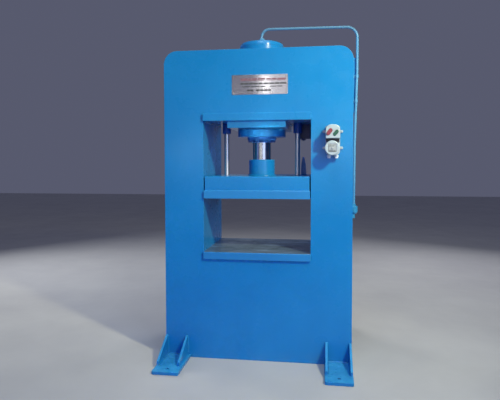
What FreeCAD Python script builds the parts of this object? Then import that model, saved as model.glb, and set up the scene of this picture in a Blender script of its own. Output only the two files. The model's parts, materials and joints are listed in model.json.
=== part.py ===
import FreeCAD, Part
import os, math
import Sketcher

# ----------------------------------------------------------------------
# Closed-frame hydraulic press: two window plates joined by side plates,
# webs, a table plate and a head plate; a vertical cylinder in the crown
# drives a two-layer platen that runs on two guide rods.
# Frame: +X right, +Y to the rear, +Z up, millimetres, origin on the floor
# at the centre of the frame's footprint.
# ----------------------------------------------------------------------

os.makedirs("parts", exist_ok=True)
doc = FreeCAD.newDocument("hydraulic_press")
V = FreeCAD.Vector

# ------------------------------ dimensions ----------------------------
CELLS = [
    ("frame_wide", 1050, "width over the frame plates"),
    ("frame_tall", 1740, "height of the frame plates"),
    ("frame_deep", 520, "front face to rear face"),
    ("plate_thk", 25, "front and rear plate"),
    ("corner_rad", 75, "rounded top corners"),
    ("win_wide", 600, "clear width between the columns"),
    ("web_thk", 16, "inner column web"),
    ("web_top", 1400, "top of the inner webs"),
    ("skin_thk", 12, "outer side plate"),
    ("lip", 15, "how far table, head and platen plates stand proud of the frame faces"),
    ("table_top", 612, "table working face"),
    ("table_thk", 40, "table plate"),
    ("head_low", 1347, "underside of the head plate"),
    ("head_thk", 40, "head plate"),
    ("saddle_wide", 324, "cylinder saddle plate"),
    ("saddle_thk", 40, "cylinder saddle plate"),
    ("saddle_out", 3, "cylinder saddle plate, proud of the window plates"),
    ("edge_break", 4, "broken edge of the platen and table plates"),
    ("tray_thk", 12, "bottom plate"),
    ("foot_wide", 145, "foot plate"),
    ("foot_long", 275, "foot plate, out from the frame face"),
    ("foot_thk", 16, "foot plate"),
    ("foot_hole", 20, "anchor hole diameter"),
    ("foot_hole_off", 224, "anchor hole, out from the frame face"),
    ("gus_thk", 12, "gusset"),
    ("gus_high", 126, "gusset top above the floor"),
    ("gus_long", 185, "gusset toe, out from the frame face"),
    ("gus_toe", 36, "top of the gusset toe above the floor"),
    ("gus_inset", 3, "gusset in from the foot plate's edge"),
    ("gus_inner_left", 15, "left foot's inner gusset, in from the plate's edge"),
    ("barrel_od", 260, "cylinder barrel"),
    ("barrel_id", 200, "cylinder bore"),
    ("barrel_top", 1790, "top of the barrel"),
    ("cap_dia", 219.8, "screwed end cap, threaded part"),
    ("cap_thk", 18, "screwed end cap, threaded part"),
    ("cap_head", 29, "end cap above the barrel"),
    ("cap_round", 26, "rounded shoulder of the end cap"),
    ("port_dia", 18, "port through the end cap"),
    ("flange_dia", 285, "head flange"),
    ("flange_thk", 43, "head flange"),
    ("flange_pcd", 232, "head flange bolts"),
    ("flange_bolt", 16, "head flange bolt"),
    ("gland_dia", 172, "gland ring"),
    ("gland_thk", 18, "gland ring"),
    ("gland_pcd", 142, "gland bolts"),
    ("gland_bolt", 12, "gland bolt"),
    ("gland_low", 1232, "underside of the gland collar"),
    ("ram_dia", 110, "ram"),
    ("ram_low", 1077, "foot of the ram, in the boss"),
    ("run_gap", 0.05, "radial running clearance"),
    ("piston_low", 1609, "underside of the piston at rest"),
    ("piston_thk", 60, "piston"),
    ("spigot_dia", 70, "ram end through the piston"),
    ("boss_dia", 155, "ram boss"),
    ("boss_tall", 94, "ram boss"),
    ("block_wide", 585, "platen block"),
    ("block_thk", 76, "platen block"),
    ("plat_low", 914, "underside of the platen"),
    ("plat_wide", 592, "platen plate"),
    ("plat_thk", 47, "platen plate"),
    ("rod_dia", 30, "guide rod"),
    ("rod_off", 213.5, "guide rod from the ram axis"),
    ("rod_low", 1000, "foot of the guide rods"),
    ("rod_top", 1620, "top of the guide rods"),
    ("bush_dia", 50, "guide bush"),
    ("bush_low", 1287, "foot of the guide bush"),
    ("bush_flange", 70, "guide bush flange"),
    ("plat_bolt", 16, "platen bolt"),
    ("pipe_dia", 15, "hydraulic pipe"),
    ("pipe_bore", 11, "hydraulic pipe bore"),
    ("pipe_level", 1898, "level of the pipe's top run"),
    ("pipe_rise", 6, "the run is this much higher over the cylinder"),
    ("pipe_x", 557.5, "pipe down the side"),
    ("pipe_foot_x", 544, "pipe at its lower fitting"),
    ("elbow_z", 828, "side elbow"),
    ("elbow_x", 545, "side elbow"),
    ("plate_w", 310, "name plate"),
    ("plate_h", 108, "name plate"),
    ("plate_cx", 19, "name plate centre"),
    ("plate_cz", 1543, "name plate centre"),
    ("st_cx", 416.5, "starter centre"),
    ("st_wide", 76, "starter housing"),
    ("st_low", 1152, "starter housing foot"),
    ("st_top", 1314, "starter housing top"),
    ("st_deep", 95, "starter depth"),
    ("st_tray", 42, "starter back box depth"),
    ("dial_dia", 78, "round lower cover"),
    ("dial_cz", 1191, "round lower cover centre"),
    ("rail_out", 25, "pipe bracket, out from the side plate"),
    ("rail_thk", 4, "pipe bracket"),
    ("rail_foot", 32, "pipe bracket foot"),
    ("rail_y", 8.2, "front face of the pipe bracket"),
    ("cover_wide", 470, "rear cover"),
    ("cover_tall", 440, "rear cover"),
    ("tank_wide", 360, "oil tank"),
    ("tank_deep", 400, "oil tank"),
    ("tank_tall", 270, "oil tank"),
    ("tank_wall", 3, "oil tank"),
    ("motor_dia", 180, "pump motor"),
    ("motor_tall", 236, "pump motor"),
]
sheet = doc.addObject("Spreadsheet::Sheet", "Dims")
for i, (alias, value, note) in enumerate(CELLS, 1):
    sheet.set("A%d" % i, alias)
    sheet.set("B%d" % i, str(value))
    sheet.setAlias("B%d" % i, alias)
    sheet.set("C%d" % i, note)
doc.recompute()


class Q:
    """A size: the sheet expression and its present value side by side."""

    def __init__(self, text, val):
        self.text, self.val = text, float(val)

    def _op(self, other, sign, swap=False):
        a, b = self, q(other)
        if swap:
            a, b = b, a
        if sign == "+":
            val = a.val + b.val
        elif sign == "-":
            val = a.val - b.val
        elif sign == "*":
            val = a.val * b.val
        else:
            val = a.val / b.val
        return Q("(%s %s %s)" % (a.text, sign, b.text), val)

    def __add__(self, o): return self._op(o, "+")
    def __radd__(self, o): return self._op(o, "+", True)
    def __sub__(self, o): return self._op(o, "-")
    def __rsub__(self, o): return self._op(o, "-", True)
    def __mul__(self, o): return self._op(o, "*")
    def __rmul__(self, o): return self._op(o, "*", True)
    def __truediv__(self, o): return self._op(o, "/")
    def __neg__(self): return q(0) - self


def q(value):
    if isinstance(value, Q):
        return value
    value = float(value)
    text = "%.6f" % abs(value)
    return Q(text if value >= 0 else "(0 - %s)" % text, value)


class Sheet:
    pass


D = Sheet()
for alias, value, note in CELLS:
    setattr(D, alias, Q("Dims." + alias, value))


def bind(obj, prop, value):
    value = q(value)
    if "Dims." in value.text:
        obj.setExpression(prop, value.text)
    elif prop.startswith("Placement.Base."):
        if abs(value.val) > 1e-12:
            obj.setExpression(prop, value.text)
    else:
        setattr(obj, prop, value.val)


def put(obj, x=0, y=0, z=0, rot=None):
    if rot is not None:
        obj.Placement = FreeCAD.Placement(V(0, 0, 0), rot)
    for name, val in (("x", x), ("y", y), ("z", z)):
        bind(obj, "Placement.Base." + name, val)
    return obj


ROT = {
    "Z": None,
    "-Z": FreeCAD.Rotation(V(1, 0, 0), 180),
    "X": FreeCAD.Rotation(V(0, 1, 0), 90),
    "-X": FreeCAD.Rotation(V(0, 1, 0), -90),
    "Y": FreeCAD.Rotation(V(1, 0, 0), -90),
    "-Y": FreeCAD.Rotation(V(1, 0, 0), 90),
}

# ------------------------------ primitives ----------------------------


def box(name, x0, x1, y0, y1, z0, z1):
    o = doc.addObject("Part::Box", name)
    x0, x1, y0, y1, z0, z1 = [q(v) for v in (x0, x1, y0, y1, z0, z1)]
    bind(o, "Length", x1 - x0)
    bind(o, "Width", y1 - y0)
    bind(o, "Height", z1 - z0)
    return put(o, x0, y0, z0)


def cyl(name, dia, length, x, y, z, axis="Z"):
    o = doc.addObject("Part::Cylinder", name)
    bind(o, "Radius", q(dia) / 2)
    bind(o, "Height", length)
    return put(o, x, y, z, ROT[axis])


def cone(name, d1, d2, length, x, y, z, axis="Z"):
    o = doc.addObject("Part::Cone", name)
    bind(o, "Radius1", q(d1) / 2)
    bind(o, "Radius2", q(d2) / 2)
    bind(o, "Height", length)
    return put(o, x, y, z, ROT[axis])


def hexa(name, flats, length, x, y, z, axis="Z"):
    o = doc.addObject("Part::Prism", name)
    o.Polygon = 6
    bind(o, "Circumradius", q(flats) / 1.7320508)
    bind(o, "Height", length)
    return put(o, x, y, z, ROT[axis])


def group(name, parts):
    o = doc.addObject("Part::Compound", name)
    o.Links = parts
    return o


def fuse(name, parts):
    o = doc.addObject("Part::MultiFuse", name)
    o.Shapes = parts
    o.Refine = True
    return o


def cut(name, base, tools):
    if isinstance(tools, (list, tuple)):
        tool = tools[0] if len(tools) == 1 else group(name + "_tools", list(tools))
    else:
        tool = tools
    o = doc.addObject("Part::Cut", name)
    o.Base = base
    o.Tool = tool
    return o


def edge_ids(shape, test):
    return [i for i, e in enumerate(shape.Edges, 1) if test(e)]


def soften(kind, name, base, test, size):
    """Fillet or chamfer the edges of base that pass the test."""
    doc.recompute()
    o = doc.addObject("Part::" + kind, name)
    o.Base = base
    o.Edges = [(i, float(size), float(size)) for i in edge_ids(base.Shape, test)]
    return o


def ring(count, dia, start=0.0):
    for k in range(count):
        a = math.radians(start + 360.0 * k / count)
        yield k, q(dia) / 2 * math.cos(a), q(dia) / 2 * math.sin(a)


# ------------------------------ sketches ------------------------------


def new_body(name):
    return doc.addObject("PartDesign::Body", name)


def new_sketch(body, role, name):
    sk = body.newObject("Sketcher::SketchObject", name)
    plane = [f for f in body.Origin.OriginFeatures if f.Role == role][0]
    sk.AttachmentSupport = (plane, "")
    sk.MapMode = "FlatFace"
    return sk


def fix_point(sk, geo, pos, x, y, tag):
    for kind, val, axis in (("DistanceX", q(x), -2), ("DistanceY", q(y), -1)):
        if abs(val.val) < 1e-9:
            sk.addConstraint(Sketcher.Constraint("PointOnObject", geo, pos, axis))
            continue
        if val.val > 0:
            c = Sketcher.Constraint(kind, -1, 1, geo, pos, val.val)
            expr = val
        else:
            c = Sketcher.Constraint(kind, geo, pos, -1, 1, -val.val)
            expr = -val
        idx = sk.addConstraint(c)
        label = "%s_%s" % (tag, kind[-1])
        sk.renameConstraint(idx, label)
        if "Dims." in expr.text:
            sk.setExpression("Constraints." + label, expr.text)


def poly(sk, pts, tag):
    pts = [(q(a), q(b)) for a, b in pts]
    n = len(pts)
    ids = []
    for i in range(n):
        a, b = pts[i], pts[(i + 1) % n]
        ids.append(sk.addGeometry(Part.LineSegment(V(a[0].val, a[1].val, 0), V(b[0].val, b[1].val, 0)), False))
    for i in range(n):
        sk.addConstraint(Sketcher.Constraint("Coincident", ids[i], 2, ids[(i + 1) % n], 1))
    for i in range(n):
        fix_point(sk, ids[i], 1, pts[i][0], pts[i][1], "%s%d" % (tag, i))
    return ids


def rect(sk, x0, x1, y0, y1, tag):
    return poly(sk, [(x0, y0), (x1, y0), (x1, y1), (x0, y1)], tag)


def circle(sk, x, y, dia, tag):
    x, y, dia = q(x), q(y), q(dia)
    g = sk.addGeometry(Part.Circle(V(x.val, y.val, 0), V(0, 0, 1), dia.val / 2), False)
    if abs(x.val) < 1e-9 and abs(y.val) < 1e-9:
        sk.addConstraint(Sketcher.Constraint("Coincident", g, 3, -1, 1))
    else:
        fix_point(sk, g, 3, x, y, tag + "c")
    idx = sk.addConstraint(Sketcher.Constraint("Radius", g, dia.val / 2))
    sk.renameConstraint(idx, tag + "_r")
    if "Dims." in dia.text:
        sk.setExpression("Constraints." + tag + "_r", (dia / 2).text)
    return g


def pad(body, sk, length, name, reverse=False):
    p = body.newObject("PartDesign::Pad", name)
    p.Profile = sk
    p.Reversed = reverse
    bind(p, "Length", length)
    return p


def pocket(body, sk, length, name, reverse=False):
    before = doc_volume(body)
    p = body.newObject("PartDesign::Pocket", name)
    p.Profile = sk
    p.Type = 0
    p.Reversed = reverse
    bind(p, "Length", length)
    doc.recompute()
    if not p.Shape.Volume < before - 1e-3:
        raise RuntimeError("pocket %s removed nothing" % name)
    return p


def doc_volume(body):
    doc.recompute()
    return body.Shape.Volume


def round_edges(body, feat, test, rad, name):
    doc.recompute()
    names = ["Edge%d" % i for i in edge_ids(feat.Shape, test)]
    if not names:
        raise RuntimeError("no edge for " + name)
    f = body.newObject("PartDesign::Fillet", name)
    f.Base = (feat, names)
    bind(f, "Radius", rad)
    return f


def chamfer_edges(body, feat, test, size, name):
    doc.recompute()
    names = ["Edge%d" % i for i in edge_ids(feat.Shape, test)]
    if not names:
        raise RuntimeError("no edge for " + name)
    f = body.newObject("PartDesign::Chamfer", name)
    f.Base = (feat, names)
    bind(f, "Size", size)
    return f


def turned(name, pts):
    """A turned piece: half section (radius, height) revolved about Z."""
    body = new_body(name)
    sk = new_sketch(body, "XZ_Plane", name + "_section")
    poly(sk, pts, "p")
    r = body.newObject("PartDesign::Revolution", name + "_turn")
    r.Profile = sk
    r.ReferenceAxis = (sk, ["V_Axis"])
    r.Angle = 360
    return body


def along(e, axis, length=None):
    """True if the straight edge e runs along the axis."""
    if e.Curve.TypeId != "Part::GeomLine":
        return False
    d = e.Vertexes[-1].Point.sub(e.Vertexes[0].Point)
    comp = [abs(d.x), abs(d.y), abs(d.z)]
    k = "XYZ".index(axis)
    return comp[k] > 1e-6 and sum(comp) - comp[k] < 1e-6 and (length is None or abs(comp[k] - length) < 1e-3)


def mid(e):
    return e.CenterOfMass


NODES = []


def node(obj, label):
    obj.Label = label
    NODES.append((label, obj))
    return obj


# ------------------------------ pipes ---------------------------------


def route(points, radii):
    """Straight runs joined by tangent arcs, as one wire."""
    pts = [V(*p) for p in points]
    edges = []
    start = pts[0]
    for i in range(1, len(pts) - 1):
        u = (pts[i - 1] - pts[i]).normalize()
        w = (pts[i + 1] - pts[i]).normalize()
        turn = math.pi - math.acos(max(-1.0, min(1.0, u.dot(w))))
        r = radii[i - 1]
        t = r * math.tan(turn / 2)
        a = pts[i] + u * t
        b = pts[i] + w * t
        bis = (u + w).normalize()
        centre = pts[i] + bis * (r / math.cos(turn / 2))
        m = centre - bis * r
        edges.append(Part.LineSegment(start, a).toShape())
        edges.append(Part.Arc(a, m, b).toShape())
        start = b
    edges.append(Part.LineSegment(start, pts[-1]).toShape())
    return Part.Wire(edges)


def pipe(name, points, radii, outer, inner):
    """Bent tube: a ring section swept along the route."""
    wire = route(points, radii)
    path = doc.addObject("Part::Feature", name + "_path")
    path.Shape = wire
    first = V(*points[0])
    direction = (V(*points[1]) - first).normalize()
    rot = FreeCAD.Rotation(V(0, 0, 1), direction)
    sweeps = []
    for tag, dia in (("outer", outer), ("inner", inner)):
        c = doc.addObject("Part::Circle", "%s_%s" % (name, tag))
        bind(c, "Radius", q(dia) / 2)
        c.Placement = FreeCAD.Placement(first, rot)
        s = doc.addObject("Part::Sweep", "%s_%s_sweep" % (name, tag))
        s.Sections = [c]
        s.Spine = (path, ["Edge%d" % (k + 1) for k in range(len(wire.Edges))])
        s.Solid = True
        s.Frenet = False
        sweeps.append(s)
    out = cut(name, sweeps[0], [sweeps[1]])
    doc.recompute()
    want = math.pi / 4 * (q(outer).val ** 2 - q(inner).val ** 2) * wire.Length
    got = out.Shape.Volume
    if abs(got / want - 1) > 0.02:
        raise RuntimeError("%s volume %.1f, expected %.1f" % (name, got, want))
    return out


# ======================================================================
# Useful levels
# ======================================================================
HW = D.frame_wide / 2                      # half width of the frame
HD = D.frame_deep / 2                      # half depth of the frame
HI = HD - D.plate_thk                      # half depth inside the plates
HN = D.win_wide / 2                        # half width of the window
WIN_LOW = D.table_top - D.table_thk
WIN_TOP = D.head_low + D.head_thk
SADDLE_LOW = D.head_low - D.saddle_thk
FLANGE_LOW = SADDLE_LOW - D.flange_thk
GLAND_RING_LOW = FLANGE_LOW - D.gland_thk
BLOCK_LOW = D.plat_low + D.plat_thk
BLOCK_TOP = BLOCK_LOW + D.block_thk
BOSS_TOP = BLOCK_TOP + D.boss_tall

# ======================================================================
# Frame plates
# ======================================================================


COVER_HOLES = [(-220, 80), (220, 80), (-220, 285), (220, 285), (-220, 490), (220, 490)]
EAR_OFF = D.st_wide / 2 + 9.5
EAR_HOLES = [(-1.0, 1281), (1.0, 1281), (-1.0, 1193), (1.0, 1193)]


def window_plate(name, y_front, access):
    body = new_body(name)
    sk = new_sketch(body, "XZ_Plane", name + "_outline")
    rect(sk, -HW, HW, 0, D.frame_tall, "o")
    rect(sk, -HN, HN, WIN_LOW, WIN_TOP, "w")
    if access:
        rect(sk, -210, 210, 90, 480, "a")
        for k, (x, z) in enumerate(COVER_HOLES):
            circle(sk, x, z, 6.2, "s%d" % k)
    else:
        for k, (dx, z) in enumerate(EAR_HOLES):
            circle(sk, D.st_cx + EAR_OFF * dx, z, 5.0, "s%d" % k)
    p = pad(body, sk, D.plate_thk, name + "_pad")
    top = D.frame_tall.val
    half = HW.val
    f = round_edges(body, p, lambda e: along(e, "Y") and mid(e).z > top - 1 and abs(abs(mid(e).x) - half) < 1,
                    D.corner_rad, name + "_corners")
    if access:
        f = round_edges(body, f, lambda e: along(e, "Y") and abs(abs(mid(e).x) - 210) < 1 and mid(e).z < 500,
                        20, name + "_access_corners")
    put(body, 0, q(y_front) + D.plate_thk, 0)
    return body


node(window_plate("front_plate", -HD, False), "front_plate")
node(window_plate("rear_plate", HI, True), "rear_plate")


def side_skin(name, sign):
    """Outer side plate, bent over the crown to the centre line."""
    body = new_body(name + "_bend")
    sk = new_sketch(body, "XZ_Plane", name + "_section")
    s = float(sign)
    poly(sk, [(HW * s, 0), (HW * s, D.frame_tall), (0.5 * s, D.frame_tall),
              (0.5 * s, D.frame_tall - D.skin_thk), ((HW - D.skin_thk) * s, D.frame_tall - D.skin_thk),
              ((HW - D.skin_thk) * s, 0)], "p")
    p = pad(body, sk, HI * 2, name + "_pad")
    f = round_edges(body, p, lambda e: along(e, "Y") and mid(e).z > D.frame_tall.val - 1
                    and abs(abs(mid(e).x) - HW.val) < 1, D.corner_rad, name + "_outer_bend")
    round_edges(body, f, lambda e: along(e, "Y") and abs(mid(e).z - D.frame_tall.val + D.skin_thk.val) < 1
                and abs(abs(mid(e).x) - HW.val + D.skin_thk.val) < 1,
                D.corner_rad - D.skin_thk, name + "_inner_bend")
    put(body, 0, HI, 0)
    tools = [cyl(name + "_crown_hole", D.barrel_od + 4, 60, 0, 0, D.frame_tall - 40)]
    if sign > 0:
        tools.append(cyl(name + "_pipe_hole", 26, 60, HW - 40, 0, D.elbow_z, "X"))
    return cut(name, body, tools)


node(side_skin("side_plate_left", -1), "side_plate_left")
node(side_skin("side_plate_right", 1), "side_plate_right")

# inner webs; the right one passes the two pipes of the power pack
node(box("inner_web_left", -HN - D.web_thk, -HN, -HI, HI, 0, D.web_top), "inner_web_left")
web_r = box("inner_web_right_blank", HN, HN + D.web_thk, -HI, HI, 0, D.web_top)
node(cut("inner_web_right", web_r, [
    cyl("web_hole_supply", 22, 60, HN - 20, 0, 330, "X"),
    cyl("web_hole_return", 22, 60, HN - 20, 60, 350, "X")]), "inner_web_right")

# table: one machined plate through both windows
table = box("table_blank", -HN, HN, -HD - D.lip, HD + D.lip, WIN_LOW, D.table_top)
node(soften("Chamfer", "table_plate", table,
            lambda e: abs(mid(e).z - D.table_top.val) < 0.1 and abs(abs(mid(e).y) - HD.val - D.lip.val) < 0.1,
            D.edge_break.val - 1),
     "table_plate")

# head plate with the cylinder hole and two bush holes
head = box("head_blank", -HN, HN, -HD - D.lip, HD + D.lip, D.head_low, WIN_TOP)
node(cut("head_plate", head, [
    cyl("head_hole", D.barrel_od + 1, 80, 0, 0, D.head_low - 20),
    cyl("head_bush_l", D.bush_dia + 0.2, 80, -D.rod_off, 0, D.head_low - 20),
    cyl("head_bush_r", D.bush_dia + 0.2, 80, D.rod_off, 0, D.head_low - 20)]), "head_plate")

# saddle plate under the head, through both windows
saddle = box("saddle_blank", -D.saddle_wide / 2, D.saddle_wide / 2, -HD - D.saddle_out, HD + D.saddle_out,
             SADDLE_LOW, D.head_low)
node(cut("cylinder_saddle", saddle, [cyl("saddle_hole", D.barrel_od + 1, 80, 0, 0, SADDLE_LOW - 20)]),
     "cylinder_saddle")

node(box("base_tray", -HN, HN, -HI, HI, 0, D.tray_thk), "base_tray")

# ======================================================================
# Feet: foot plate with an anchor hole, and two gussets on each
# ======================================================================
for side, sx in (("l", -1.0), ("r", 1.0)):
    for end, sy in (("f", -1.0), ("r", 1.0)):
        name = "foot_plate_" + end + side
        body = new_body(name)
        sk = new_sketch(body, "XY_Plane", name + "_outline")
        xo, xi = HW * sx, (HW - D.foot_wide) * sx
        yo, yi = (HD + D.foot_long) * sy, HD * sy
        c = 6.0
        poly(sk, [(xi, yi), (xo, yi), (xo, yo - q(c * sy)), (xo - q(c * sx), yo),
                  (xi + q(c * sx), yo), (xi, yo - q(c * sy))], "o")
        circle(sk, (HW - D.foot_wide / 2) * sx, (HD + D.foot_hole_off) * sy, D.foot_hole, "h")
        pad(body, sk, D.foot_thk, name + "_pad")
        node(body, name)


def gusset(name, x_low, sy):
    body = new_body(name)
    sk = new_sketch(body, "YZ_Plane", name + "_outline")
    poly(sk, [(HD * sy, D.foot_thk), (HD * sy, D.gus_high), ((HD + 10) * sy, D.gus_high),
              ((HD + D.gus_long) * sy, D.gus_toe), ((HD + D.gus_long) * sy, D.foot_thk)], "p")
    pad(body, sk, D.gus_thk, name + "_pad")
    put(body, x_low, 0, 0)
    return body


for end, sy in (("front", -1.0), ("rear", 1.0)):
    solids = []
    for k, x in enumerate((-HW + D.gus_inset - 2, -HW + D.foot_wide - D.gus_inner_left - D.gus_thk,
                           HW - D.foot_wide + D.gus_inset, HW - D.gus_inset + 2 - D.gus_thk)):
        solids.append(gusset("gusset_%s_%d" % (end, k + 1), x, sy))
    node(group("gussets_" + end, solids), "gussets_" + end)

# ======================================================================
# Cylinder
# ======================================================================
RO, RI, RC = D.barrel_od / 2, D.barrel_id / 2, D.cap_dia / 2 + 0.1
CAP_LOW = D.barrel_top - D.cap_thk
barrel = turned("barrel_blank", [(RI, SADDLE_LOW), (RO, SADDLE_LOW), (RO, D.barrel_top - 1), (RO - 1, D.barrel_top),
                                 (RC, D.barrel_top), (RC, CAP_LOW), (RI, CAP_LOW)])
bolt_holes = [cyl("barrel_bolt_%d" % k, D.flange_bolt + 0.2, 44, x, y, SADDLE_LOW - 4)
              for k, x, y in ring(8, D.flange_pcd, 22.5)]
port = cyl("barrel_port", 14, 60, 0, RI - 20, 1440, "Y")
node(cut("cylinder_barrel", barrel, bolt_holes + [port]), "cylinder_barrel")

CAP_TOP = D.barrel_top + D.cap_head
cap = turned("cap_blank", [(0, CAP_LOW), (RC - 0.1, CAP_LOW), (RC - 0.1, D.barrel_top), (RO - 1, D.barrel_top),
                           (RO, D.barrel_top + 1), (RO, CAP_TOP), (0, CAP_TOP)])
cap = soften("Fillet", "cap_shoulder", cap, lambda e: e.BoundBox.ZMin > CAP_TOP.val - 0.1, D.cap_round.val)
node(cut("cylinder_cap", cap, [
    cyl("cap_port", D.port_dia, 80, 0, 0, CAP_LOW - 20),
    cyl("cap_pin_a", 16, 30, -70, 0, CAP_TOP - 15),
    cyl("cap_pin_b", 16, 30, 70, 0, CAP_TOP - 15)]), "cylinder_cap")

fit = fuse("cap_fitting_blank", [
    cyl("cap_fit_spigot", D.port_dia - 0.4, 14, 0, 0, CAP_TOP - 14),
    hexa("cap_fit_hex", 32, 12, 0, 0, CAP_TOP),
    hexa("cap_fit_nut", 27, 16, 0, 0, CAP_TOP + 13),
    cyl("cap_fit_neck", 20, 30, 0, 0, CAP_TOP)])
node(cut("cap_fitting", fit, [
    cyl("cap_fit_bore", D.pipe_bore, 60, 0, 0, CAP_TOP - 20),
    cyl("cap_fit_seat", D.pipe_dia + 0.2, 60, 0, 0, CAP_TOP + 6)]), "cap_fitting")

# head flange: the lower end of the cylinder, bolted up into the barrel wall
flange = turned("head_flange_blank", [
    (D.ram_dia / 2 + D.run_gap, FLANGE_LOW), (D.flange_dia / 2 - 2, FLANGE_LOW), (D.flange_dia / 2, FLANGE_LOW + 2),
    (D.flange_dia / 2, SADDLE_LOW - 2), (D.flange_dia / 2 - 2, SADDLE_LOW), (D.ram_dia / 2 + D.run_gap, SADDLE_LOW)])
tools = []
for k, x, y in ring(8, D.flange_pcd, 22.5):
    tools.append(cyl("flange_bolt_hole_%d" % k, D.flange_bolt + 0.6, 60, x, y, FLANGE_LOW - 5))
    tools.append(cyl("flange_bolt_seat_%d" % k, 27, 23, x, y, FLANGE_LOW - 5))
for k, x, y in ring(12, D.gland_pcd, 15):
    tools.append(cyl("flange_gland_hole_%d" % k, D.gland_bolt + 0.2, 40, x, y, FLANGE_LOW - 5))
seat = fuse("head_flange_holes", tools)
node(cut("head_flange", flange, seat), "head_flange")

bolts = []
for k, x, y in ring(8, D.flange_pcd, 22.5):
    b = fuse("flange_bolt_%d_blank" % k, [
        cyl("flange_bolt_head_%d" % k, 24, 16, x, y, FLANGE_LOW + 2),
        cyl("flange_bolt_shank_%d" % k, D.flange_bolt, 46, x, y, FLANGE_LOW + 18)])
    bolts.append(cut("flange_bolt_%d" % k, b, [hexa("flange_bolt_socket_%d" % k, 14, 9, x, y, FLANGE_LOW + 1)]))
node(group("head_flange_bolts", bolts), "head_flange_bolts")

gland = turned("gland_blank", [
    (D.ram_dia / 2 + D.run_gap, D.gland_low), (57, D.gland_low), (59, D.gland_low + 2), (59, GLAND_RING_LOW),
    (D.gland_dia / 2 - 1.5, GLAND_RING_LOW), (D.gland_dia / 2, GLAND_RING_LOW + 1.5),
    (D.gland_dia / 2, FLANGE_LOW), (D.ram_dia / 2 + D.run_gap, FLANGE_LOW)])
node(cut("gland_ring", gland, [cyl("gland_hole_%d" % k, D.gland_bolt + 0.6, 60, x, y, GLAND_RING_LOW - 20)
                               for k, x, y in ring(12, D.gland_pcd, 15)]), "gland_ring")

bolts = []
for k, x, y in ring(12, D.gland_pcd, 15):
    bolts.append(fuse("gland_bolt_%d" % k, [
        hexa("gland_bolt_head_%d" % k, 19, 12, x * 1.0, y, GLAND_RING_LOW - 12),
        cyl("gland_bolt_shank_%d" % k, D.gland_bolt, D.gland_thk + 24, x, y, GLAND_RING_LOW)]))
node(group("gland_bolts", bolts), "gland_bolts")

# ======================================================================
# Ram, piston and platen
# ======================================================================
RR = D.ram_dia / 2
PTOP = D.piston_low + D.piston_thk
node(turned("ram", [(0, D.ram_low), (RR - 2, D.ram_low), (RR, D.ram_low + 2), (RR, D.piston_low),
                    (D.spigot_dia / 2, D.piston_low), (D.spigot_dia / 2, PTOP - 1), (0, PTOP - 1)]), "ram")

RP = RI - D.run_gap
SEAL_LOW = D.piston_low + 24
node(turned("piston", [(D.spigot_dia / 2 + 0.1, D.piston_low + 0.1), (RP - 2, D.piston_low + 0.1), (RP, D.piston_low + 2),
                       (RP, SEAL_LOW), (RP - 10, SEAL_LOW), (RP - 10, SEAL_LOW + 12), (RP, SEAL_LOW + 12),
                       (RP, PTOP - 2), (RP - 2, PTOP), (D.spigot_dia / 2 + 0.1, PTOP)]), "piston")
node(turned("piston_seal", [(RP - 9.9, SEAL_LOW + 0.1), (RI - 0.03, SEAL_LOW + 0.1), (RI - 0.03, SEAL_LOW + 11.9),
                            (RP - 9.9, SEAL_LOW + 11.9)]), "piston_seal")

node(turned("ram_boss", [(0, BLOCK_TOP), (D.boss_dia / 2, BLOCK_TOP), (D.boss_dia / 2, BOSS_TOP - 4),
                         (D.boss_dia / 2 - 4, BOSS_TOP), (RR + 0.1, BOSS_TOP), (RR + 0.1, D.ram_low - 0.1),
                         (0, D.ram_low - 0.1)]), "ram_boss")

PB = [(-250, -215), (-95, -215), (95, -215), (250, -215), (-250, 215), (-95, 215), (95, 215), (250, 215)]
block = box("block_blank", -D.block_wide / 2, D.block_wide / 2, -HD, HD, BLOCK_LOW, BLOCK_TOP)
block = soften("Chamfer", "block_edges", block, lambda e: mid(e).z > BLOCK_TOP.val - 0.1, D.edge_break.val)
tools = [cyl("block_rod_l", D.rod_dia + 0.2, 60, -D.rod_off, 0, D.rod_low),
         cyl("block_rod_r", D.rod_dia + 0.2, 60, D.rod_off, 0, D.rod_low)]
for k, (x, y) in enumerate(PB):
    tools.append(fuse("block_bolt_hole_%d" % k, [
        cyl("block_bolt_clear_%d" % k, D.plat_bolt + 1, 140, x, y, BLOCK_LOW - 30),
        cyl("block_bolt_bore_%d" % k, 26, 40, x, y, BLOCK_TOP - 18)]))
node(cut("platen_block", block, tools), "platen_block")

plate = box("platen_blank", -D.plat_wide / 2, D.plat_wide / 2, -HD - D.lip, HD + D.lip, D.plat_low, BLOCK_LOW)
plate = soften("Chamfer", "platen_edges", plate, lambda e: mid(e).z > BLOCK_LOW.val - 0.1, D.edge_break.val + 1)
node(cut("platen_plate", plate, [cyl("platen_bolt_hole_%d" % k, D.plat_bolt + 0.2, 60, x, y, BLOCK_LOW - 30)
                                 for k, (x, y) in enumerate(PB)]), "platen_plate")
bolts = []
for k, (x, y) in enumerate(PB):
    b = fuse("platen_bolt_%d_blank" % k, [
        cyl("platen_bolt_head_%d" % k, 24, 16, x, y, BLOCK_TOP - 18),
        cyl("platen_bolt_shank_%d" % k, D.plat_bolt, D.block_thk - 18 + 28, x, y, BLOCK_LOW - 28)])
    bolts.append(cut("platen_bolt_%d" % k, b, [hexa("platen_bolt_socket_%d" % k, 14, 12, x, y, BLOCK_TOP - 11)]))
node(group("platen_bolts", bolts), "platen_bolts")

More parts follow.
